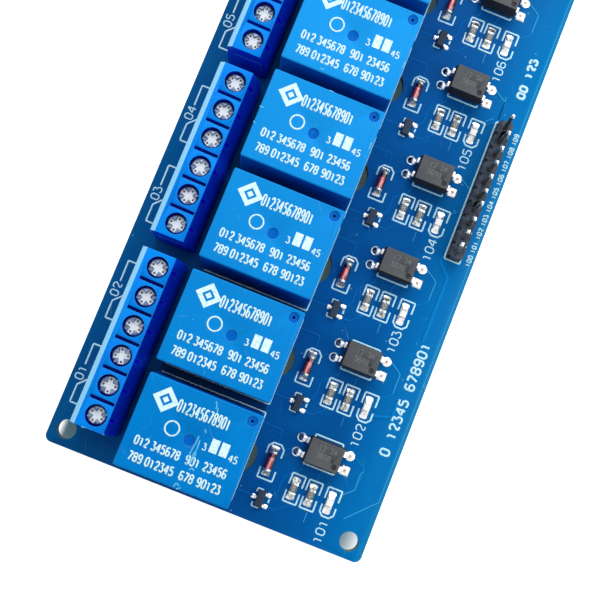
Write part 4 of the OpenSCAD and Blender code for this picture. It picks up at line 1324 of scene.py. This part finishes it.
SQUARE_ROW, ROUND_ROW = PAD_ROWS = 3.63, 6.17
OPEN_X, FILLED_X, SPOT_X = 7.25, 15.85, 15.8
SQUARE_PAD = 1.72 * MM, 1.72 * MM, 0.31 * MM
eyelets = unturned([driver_place(c, OPEN_X, y) for c in CHANNELS for y in PAD_ROWS])
spots = unturned([driver_place(c, SPOT_X, y, BOARD_TOP + 0.3 * MM) for c in CHANNELS for y in PAD_ROWS])
domes = unturned([driver_place(c, FILLED_X, ROUND_ROW) for c in CHANNELS])
squares = unturned([driver_place(c, FILLED_X, SQUARE_ROW) for c in CHANNELS], SQUARE_PAD)
place_shape("open_eyelets", eyelet, eyelets, eyelet_tin)
# the barrels' dark navy is painted shade in the open holes
place_shape("eyelet_barrels", barrel, eyelets, hole_shade)
place_shape("round_pad_solder", dome, domes, solder_bright)
place_shape("square_pad_solder", flat_pillow, squares, solder_bright)
place_shape("flux_spots", spot, spots, flux_tan)
print("eyelets:", len(eyelets), "domes:", len(domes), "squares:", len(squares))

# %% Bands round the diodes
BAND_IN, BAND_OUT, BAND_WIDE = 0.69, 0.712, 0.62
band = turned("band", [(BAND_IN, 0.0), (BAND_OUT, 0.0), (BAND_OUT, BAND_WIDE), (BAND_IN, BAND_WIDE)],
              hollow=True)
band.transform(Matrix.Rotation(-pi / 2, 4, "X"))
bands = unturned([driver_place(c, DIODE_X, 1.3, BOARD_TOP + 0.725 * MM) for c in CHANNELS])
place_shape("diode_bands", band, bands, band_dark)
print("bands:", len(bands))

# %% [markdown]
# ## Screw heads
# A clamp screw has a cross and a straight slot in one head, so that either driver fits. The head
# is turned, then a third tree cuts the recesses: it subtracts two arms and a bar. Cutting one
# head and copying it to all the ways is much lighter than cutting twenty-four. White plates on
# the floor of each cross are a painted highlight, and dark spots at its arms' ends painted shade.

# %% Tree: recess in a screw head
def tapered_bar(name, length, width, depth, top, bottom_share):
    """Closed bar that narrows downwards, as the arm of a driver's tip."""
    corners = []
    for z, share in ((top - depth, bottom_share), (top + 0.5, 1.0)):
        for sx, sy in ((-1, -1), (1, -1), (1, 1), (-1, 1)):
            corners.append((sx * length / 2 * share, sy * width / 2 * share, z))
    faces = [(3, 2, 1, 0), (4, 5, 6, 7), (0, 1, 5, 4), (1, 2, 6, 5), (2, 3, 7, 6), (3, 0, 4, 7)]
    mesh = bpy.data.meshes.new(name)
    mesh.from_pydata(corners, [], faces)
    return mesh


cut_recess = bpy.data.node_groups.new("cut_recess", "GeometryNodeTree")
enter, leave = tree_sockets(cut_recess, [("Arm", "NodeSocketObject"), ("Blade", "NodeSocketObject"),
                                         ("Material", "NodeSocketMaterial")])
arm_info = put(cut_recess, "GeometryNodeObjectInfo", {"Object": enter.outputs["Arm"]})
blade_info = put(cut_recess, "GeometryNodeObjectInfo", {"Object": enter.outputs["Blade"]})
cutters = []
for source, angle in ((arm_info, pi / 4), (arm_info, 3 * pi / 4), (blade_info, 0.0)):
    cutters.append(put(cut_recess, "GeometryNodeTransform", {
        "Geometry": source.outputs["Geometry"], "Rotation": (0, 0, angle)}))
cutting = put(cut_recess, "GeometryNodeMeshBoolean", {"Mesh 1": enter.outputs["Geometry"]},
              operation="DIFFERENCE", solver="EXACT")
for cutter in cutters:
    cut_recess.links.new(cutter.outputs[0], cutting.inputs["Mesh 2"])
end_tree(cut_recess, cutting.outputs[0], enter.outputs["Material"], leave)

# %% One screw
screw_low, screw_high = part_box("terminal_screws_1")
HEAD_TOP = (screw_high.z - BOARD_TOP) / MM
SCREW_FOOT = (screw_low.z - BOARD_TOP) / MM
HEAD_R = (screw_high.x - screw_low.x) / 2 / MM
HEAD_H = 1.9
LEDGE = HEAD_TOP - HEAD_H
RECESS = 0.35
SHANK_R = 1.25

blank = turned("screw_blank", [
    (0, SCREW_FOOT), (SHANK_R - 0.15, SCREW_FOOT), (SHANK_R, SCREW_FOOT + 0.15), (SHANK_R, LEDGE),
    (HEAD_R - 0.05, LEDGE), (HEAD_R, LEDGE + 0.08), (HEAD_R, HEAD_TOP - 0.28),
    (HEAD_R - 0.08, HEAD_TOP - 0.1), (HEAD_R - 0.28, HEAD_TOP), (0, HEAD_TOP)], steps=48)
arm = link_object("arm_shape", tapered_bar("arm", 2.8, 0.98, RECESS, HEAD_TOP, 0.92))
blade = link_object("blade_shape", tapered_bar("blade", 2 * HEAD_R + 1, 0.42, 0.3, HEAD_TOP, 0.92))
cut_head = grow("screw", blank, cut_recess, {"Arm": arm, "Blade": blade, "Material": screw_zinc})
for holder in (arm, blade):
    bpy.data.objects.remove(holder)
print("screw:", len(cut_head.polygons), "faces")

# %% Soft edges on the screw
screw_carrier = link_object("screw_round", cut_head)
soften(screw_carrier, 0.05, "ANGLE").angle_limit = radians(35)
cut_head.shade_smooth()
rounded_screw = settle(screw_carrier, "clamp_screw")
print("rounded screw:", len(rounded_screw.polygons), "faces")

# %% A screw at every way, with a painted highlight and painted shade on the floor of its recess
SCREW_X = (screw_low.x + screw_high.x) / 2
SCREW_TURNS = {1: (24, 50, 60, 30, 20, 28), 2: (35, 22, 12, 15, 15, 5),
               3: (0, 40, 20, 65, 30, 10), 4: (28, 55, 15, 40, 70, 22)}
ARM_ANGLES = [pi / 4 + QUARTER * i for i in range(4)]
ARM_PLATE = ((0.62, -0.7), (1.36, -0.325), (1.36, 0.325), (0.62, 0.7))   # radius and angle
PIT_PLACE, PIT_R = 0.98, 0.2
PLATE = 0.03 * MM
plates = [[(cos(a + t) * r, sin(a + t) * r) for r, t in ARM_PLATE] for a in ARM_ANGLES]
floor_plate = stamped("floor_plate", plates + [[(0.66, 0), (0, 0.66), (-0.66, 0), (0, -0.66)]], PLATE)
pits = stamped("pits", [
    [(cos(a) * PIT_PLACE + PIT_R * cos(t), sin(a) * PIT_PLACE + PIT_R * sin(t))
     for t in [pi / 4 * k for k in range(8)]] for a in ARM_ANGLES], PLATE)
for b in BLOCKS:
    rows, floors, marks = [], [], []
    for w, degrees in enumerate(SCREW_TURNS[b]):
        place = Vector((SCREW_X, BLOCK_MIDDLES[b] + (w - 2.5) * WAY_PITCH, BOARD_TOP))
        recess_floor = place + Vector((0, 0, (HEAD_TOP - RECESS + 0.015) * MM))
        rows.append((place, radians(degrees), (MM, MM, MM)))
        floors.append((recess_floor, radians(degrees), (1, 1, 1)))
        marks.append((recess_floor + Vector((0, 0, 0.01 * MM)), radians(degrees), (1, 1, 1)))
    piece = place_shape(f"clamp_screws_{b}", rounded_screw, rows, screw_zinc)
    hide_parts(f"terminal_screws_{b}")
    # painted highlight: white plates on the floor of each cross; painted shade: dark spots at the arms'
    # ends
    place_shape(f"recess_floors_{b}", floor_plate, floors, recess_highlight)
    place_shape(f"recess_pits_{b}", pits, marks, pit_shade)
print("screws placed: 24")

# %% [markdown]
# ## Print on the relay cases
# The cases carry white print, and the nearest ones have scuffs from handling. The print is drawn
# once as strokes and stamped blocks, round the middle of a case, and then copied to the eight
# cases with the placed-shapes tree. The signs are plain numerals in running order and simple
# shapes.

# %% Relay print
case_z = -PRINT_FILM / 2 - 3 * LAYER


def row(text, x, y, tall, step_mm, wide_mm):
    """Numerals on the case, with their step and width in millimetres."""
    return numerals(text, Vector((x * MM, y * MM, case_z)), tall, pitch=step_mm / tall,
                    squeeze=wide_mm / (0.6 * tall))


signs = row("012345678901", -3.4, 3.42, 1.75, 0.71, 0.42)
for y, texts in ((-3.38, ("012", "345678", "901", "23456")), (-5.88, ("789", "012345", "678", "90123"))):
    for text, x in zip(texts, (-7.5, -4.8, 0.7, 3.5)):
        signs += row(text, x, y, 1.25, 0.77, 0.5)
small_signs = row("3", 2.3, -0.55, 0.95, 0.6, 0.5) + row("45", 6.6, -0.75, 1.0, 0.75, 0.5)
ring = [Vector(((-3.0 + 1.1 * cos(a)) * MM, (0.7 + 1.1 * sin(a)) * MM, case_z))
        for a in [2 * pi * i / 24 for i in range(24)]]


def lozenge(half_wide, half_tall, x=-5.48, y=4.37):
    """Outline of a square that stands on its corner, round the middle of the emblem."""
    return [(x - half_wide, y), (x, y - half_tall), (x + half_wide, y), (x, y + half_tall)]


outer, inner = lozenge(2.12, 2.05), lozenge(1.08, 1.04)
blocks = [[outer[i], outer[(i + 1) % 4], inner[(i + 1) % 4], inner[i]] for i in range(4)]
blocks += [lozenge(0.56, 0.54), box_outline(3.3, -0.5, 4.55, 1.6), box_outline(4.9, -0.5, 6.15, 1.6)]
print("signs on a case:", len(signs) + 1, "strokes and", len(blocks), "blocks")

# %% Relay print on all eight cases
CASE_TOPS = unturned([Vector((*RELAY_MIDDLES[c].xy, RELAY_TOP)) for c in CHANNELS], (1, 1, 1))


def case_print(name, lines, width_mm, rings=()):
    """Grows strokes on one case and copies them to all of them."""
    inputs = {"Width": width_mm * MM, "Height": PRINT_FILM, "Corner": 0.1 * MM, "Material": case_white}
    one = grow(name + "_one", line_mesh(lines, rings), laid_lines, inputs)
    return place_shape(name, one, CASE_TOPS, case_white)


case_print("case_numbers", signs, 0.25, rings=[ring])
case_print("case_small_numbers", small_signs, 0.18)
place_shape("case_blocks", stamped("blocks", blocks, PRINT_FILM), CASE_TOPS, case_white)
print("relay print laid on", len(CASE_TOPS), "cases")

# %% Scuffs on the near cases, and painted highlights on the first housing
SCUFF_SINK = 2.5 * LAYER  # keeps a scuff's top under the case's full height
SCUFFS = (
    ((23.98, 10.92), (23.95, 9.79), (23.74, 8.75), (23.69, 7.3), (23.8, 6.23)),
    ((24.34, 10.42), (24.43, 9.02), (24.21, 7.98), (24.3, 6.58)), ((24.46, 8.56), (24.61, 7.02)),
    ((24.37, 16.7), (24.74, 16.2), (24.82, 15.59)), ((25.05, 15.84), (25.19, 15.09)),
    ((24.42, 12.22), (24.78, 11.72)), ((24.5, 5.71), (24.8, 6.14), (25.25, 5.84)),
    ((23.24, 2.52), (23.43, 3.23), (24.01, 2.98)), ((23.77, 2.41), (24.4, 2.82)),
    ((13.48, 61.35), (14.19, 61.38)), ((13.48, 58.81), (13.82, 58.58)),
    ((31.76, 68.01), (31.77, 68.01)), ((22.6, 67.84), (23.27, 67.85)),
    ((19.92, 70.56), (20.57, 70.62)), ((32.02, 79.25), (32.02, 78.38)),
    ((31.9, 76.67), (31.9, 75.62)), ((31.7, 62.65), (31.71, 61.54)))
scuffs = [on_board(places, RELAY_TOP - SCUFF_SINK) for places in SCUFFS]
lay_lines("case_scuffs", scuffs, 0.2, scuff_and_glint, height=LAYER, corner_mm=0.05)
# painted highlights: pale strokes along the near top edge of the first housing
EDGE_GLINTS = (
    ((2.1, 0.2), (2.62, 0.24), (3.03, 0.36)), ((3.38, 0.31), (3.98, 0.4)), ((5.5, 0.3), (5.9, 0.36)))
MARK_Z = housing_high.z - SCUFF_SINK
edge_glints = [[Vector((housing_low.x + x * MM, housing_low.y + y * MM, MARK_Z)) for x, y in places]
           for places in EDGE_GLINTS]
lay_lines("housing_scuffs", edge_glints, 0.18, scuff_and_glint, height=LAYER, corner_mm=0.05)
print("scuffs:", len(scuffs) + len(edge_glints))

# %% [markdown]
# ## Underside
# Nobody sees the underside in the main view, but the board is judged from there too. Each
# soldered pin has a tinned ring round its cone, and wide tracks carry the switched current from
# the relays to the terminals.

# %% Rings and wide tracks under the board
UNDER_Z = BOARD_UNDER - 0.005 * MM
pad_ring = turned("pad_ring", [(0.6, 0.0), (1.45, 0.0), (1.45, -0.04), (0.6, -0.04)], hollow=True)
RELAY_FEET = {"common": (7.6, 0.0), "near": (-6.6, -6.0), "far": (-6.6, 6.0), "coil_1": (5.6, -6.0),
              "coil_2": (5.6, 6.0)}
under_pads, heavy = [], []
for c in CHANNELS:
    middle = RELAY_MIDDLES[c]
    feet = {key: Vector((middle.x + x * MM, middle.y + y * MM, UNDER_Z))
            for key, (x, y) in RELAY_FEET.items()}
    under_pads += feet.values()
    for key, step in (("near", -1), ("common", 0), ("far", 1)):
        way = Vector((WIRE_SIDE + 4.45 * MM, THREE_WAYS[c] + step * WAY_PITCH, UNDER_Z))
        under_pads.append(way)
        bend = Vector((middle.x - 8.4 * MM, way.y + 0.6 * (feet[key].y - way.y), UNDER_Z))
        heavy.append([way, bend, feet[key]])
place_shape("under_rings", pad_ring, unturned(under_pads), solder_bright)
lay_lines("under_tracks", heavy, 2.4, copper_lacquer, TRACK_HEIGHT, 1.0)
print("under the board:", len(under_pads), "rings,", len(heavy), "tracks")

# %% [markdown]
# ## Marks on the small parts
# The optocouplers carry a faint laser mark in a colour close to the case, and the resistors a
# pale printed number. Both are the same strokes as the board's numbers, only smaller.

# %% Faint marks
chip_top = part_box("resistor_bodies")[1].z
faint, values = [], []
for c in CHANNELS:
    for text, y in (("12 34", 5.5), ("5678", 4.2)):
        faint += numerals(text, driver_place(c, 10.2, y, OPTO_TOP), 0.8)
    for x in (9.25, 12.3):
        foot = driver_place(c, x, -2.72, chip_top + 0.002 * MM)
        values += numerals("102", foot, 0.5, pitch=0.75, turn=QUARTER)
lay_lines("case_marks", faint, 0.13, mark_grey, height=0.006 * MM, corner_mm=0.08)
lay_lines("resistor_values", values, 0.08, value_white, height=0.006 * MM, corner_mm=0.05)
print("faint marks:", len(faint), "strokes")
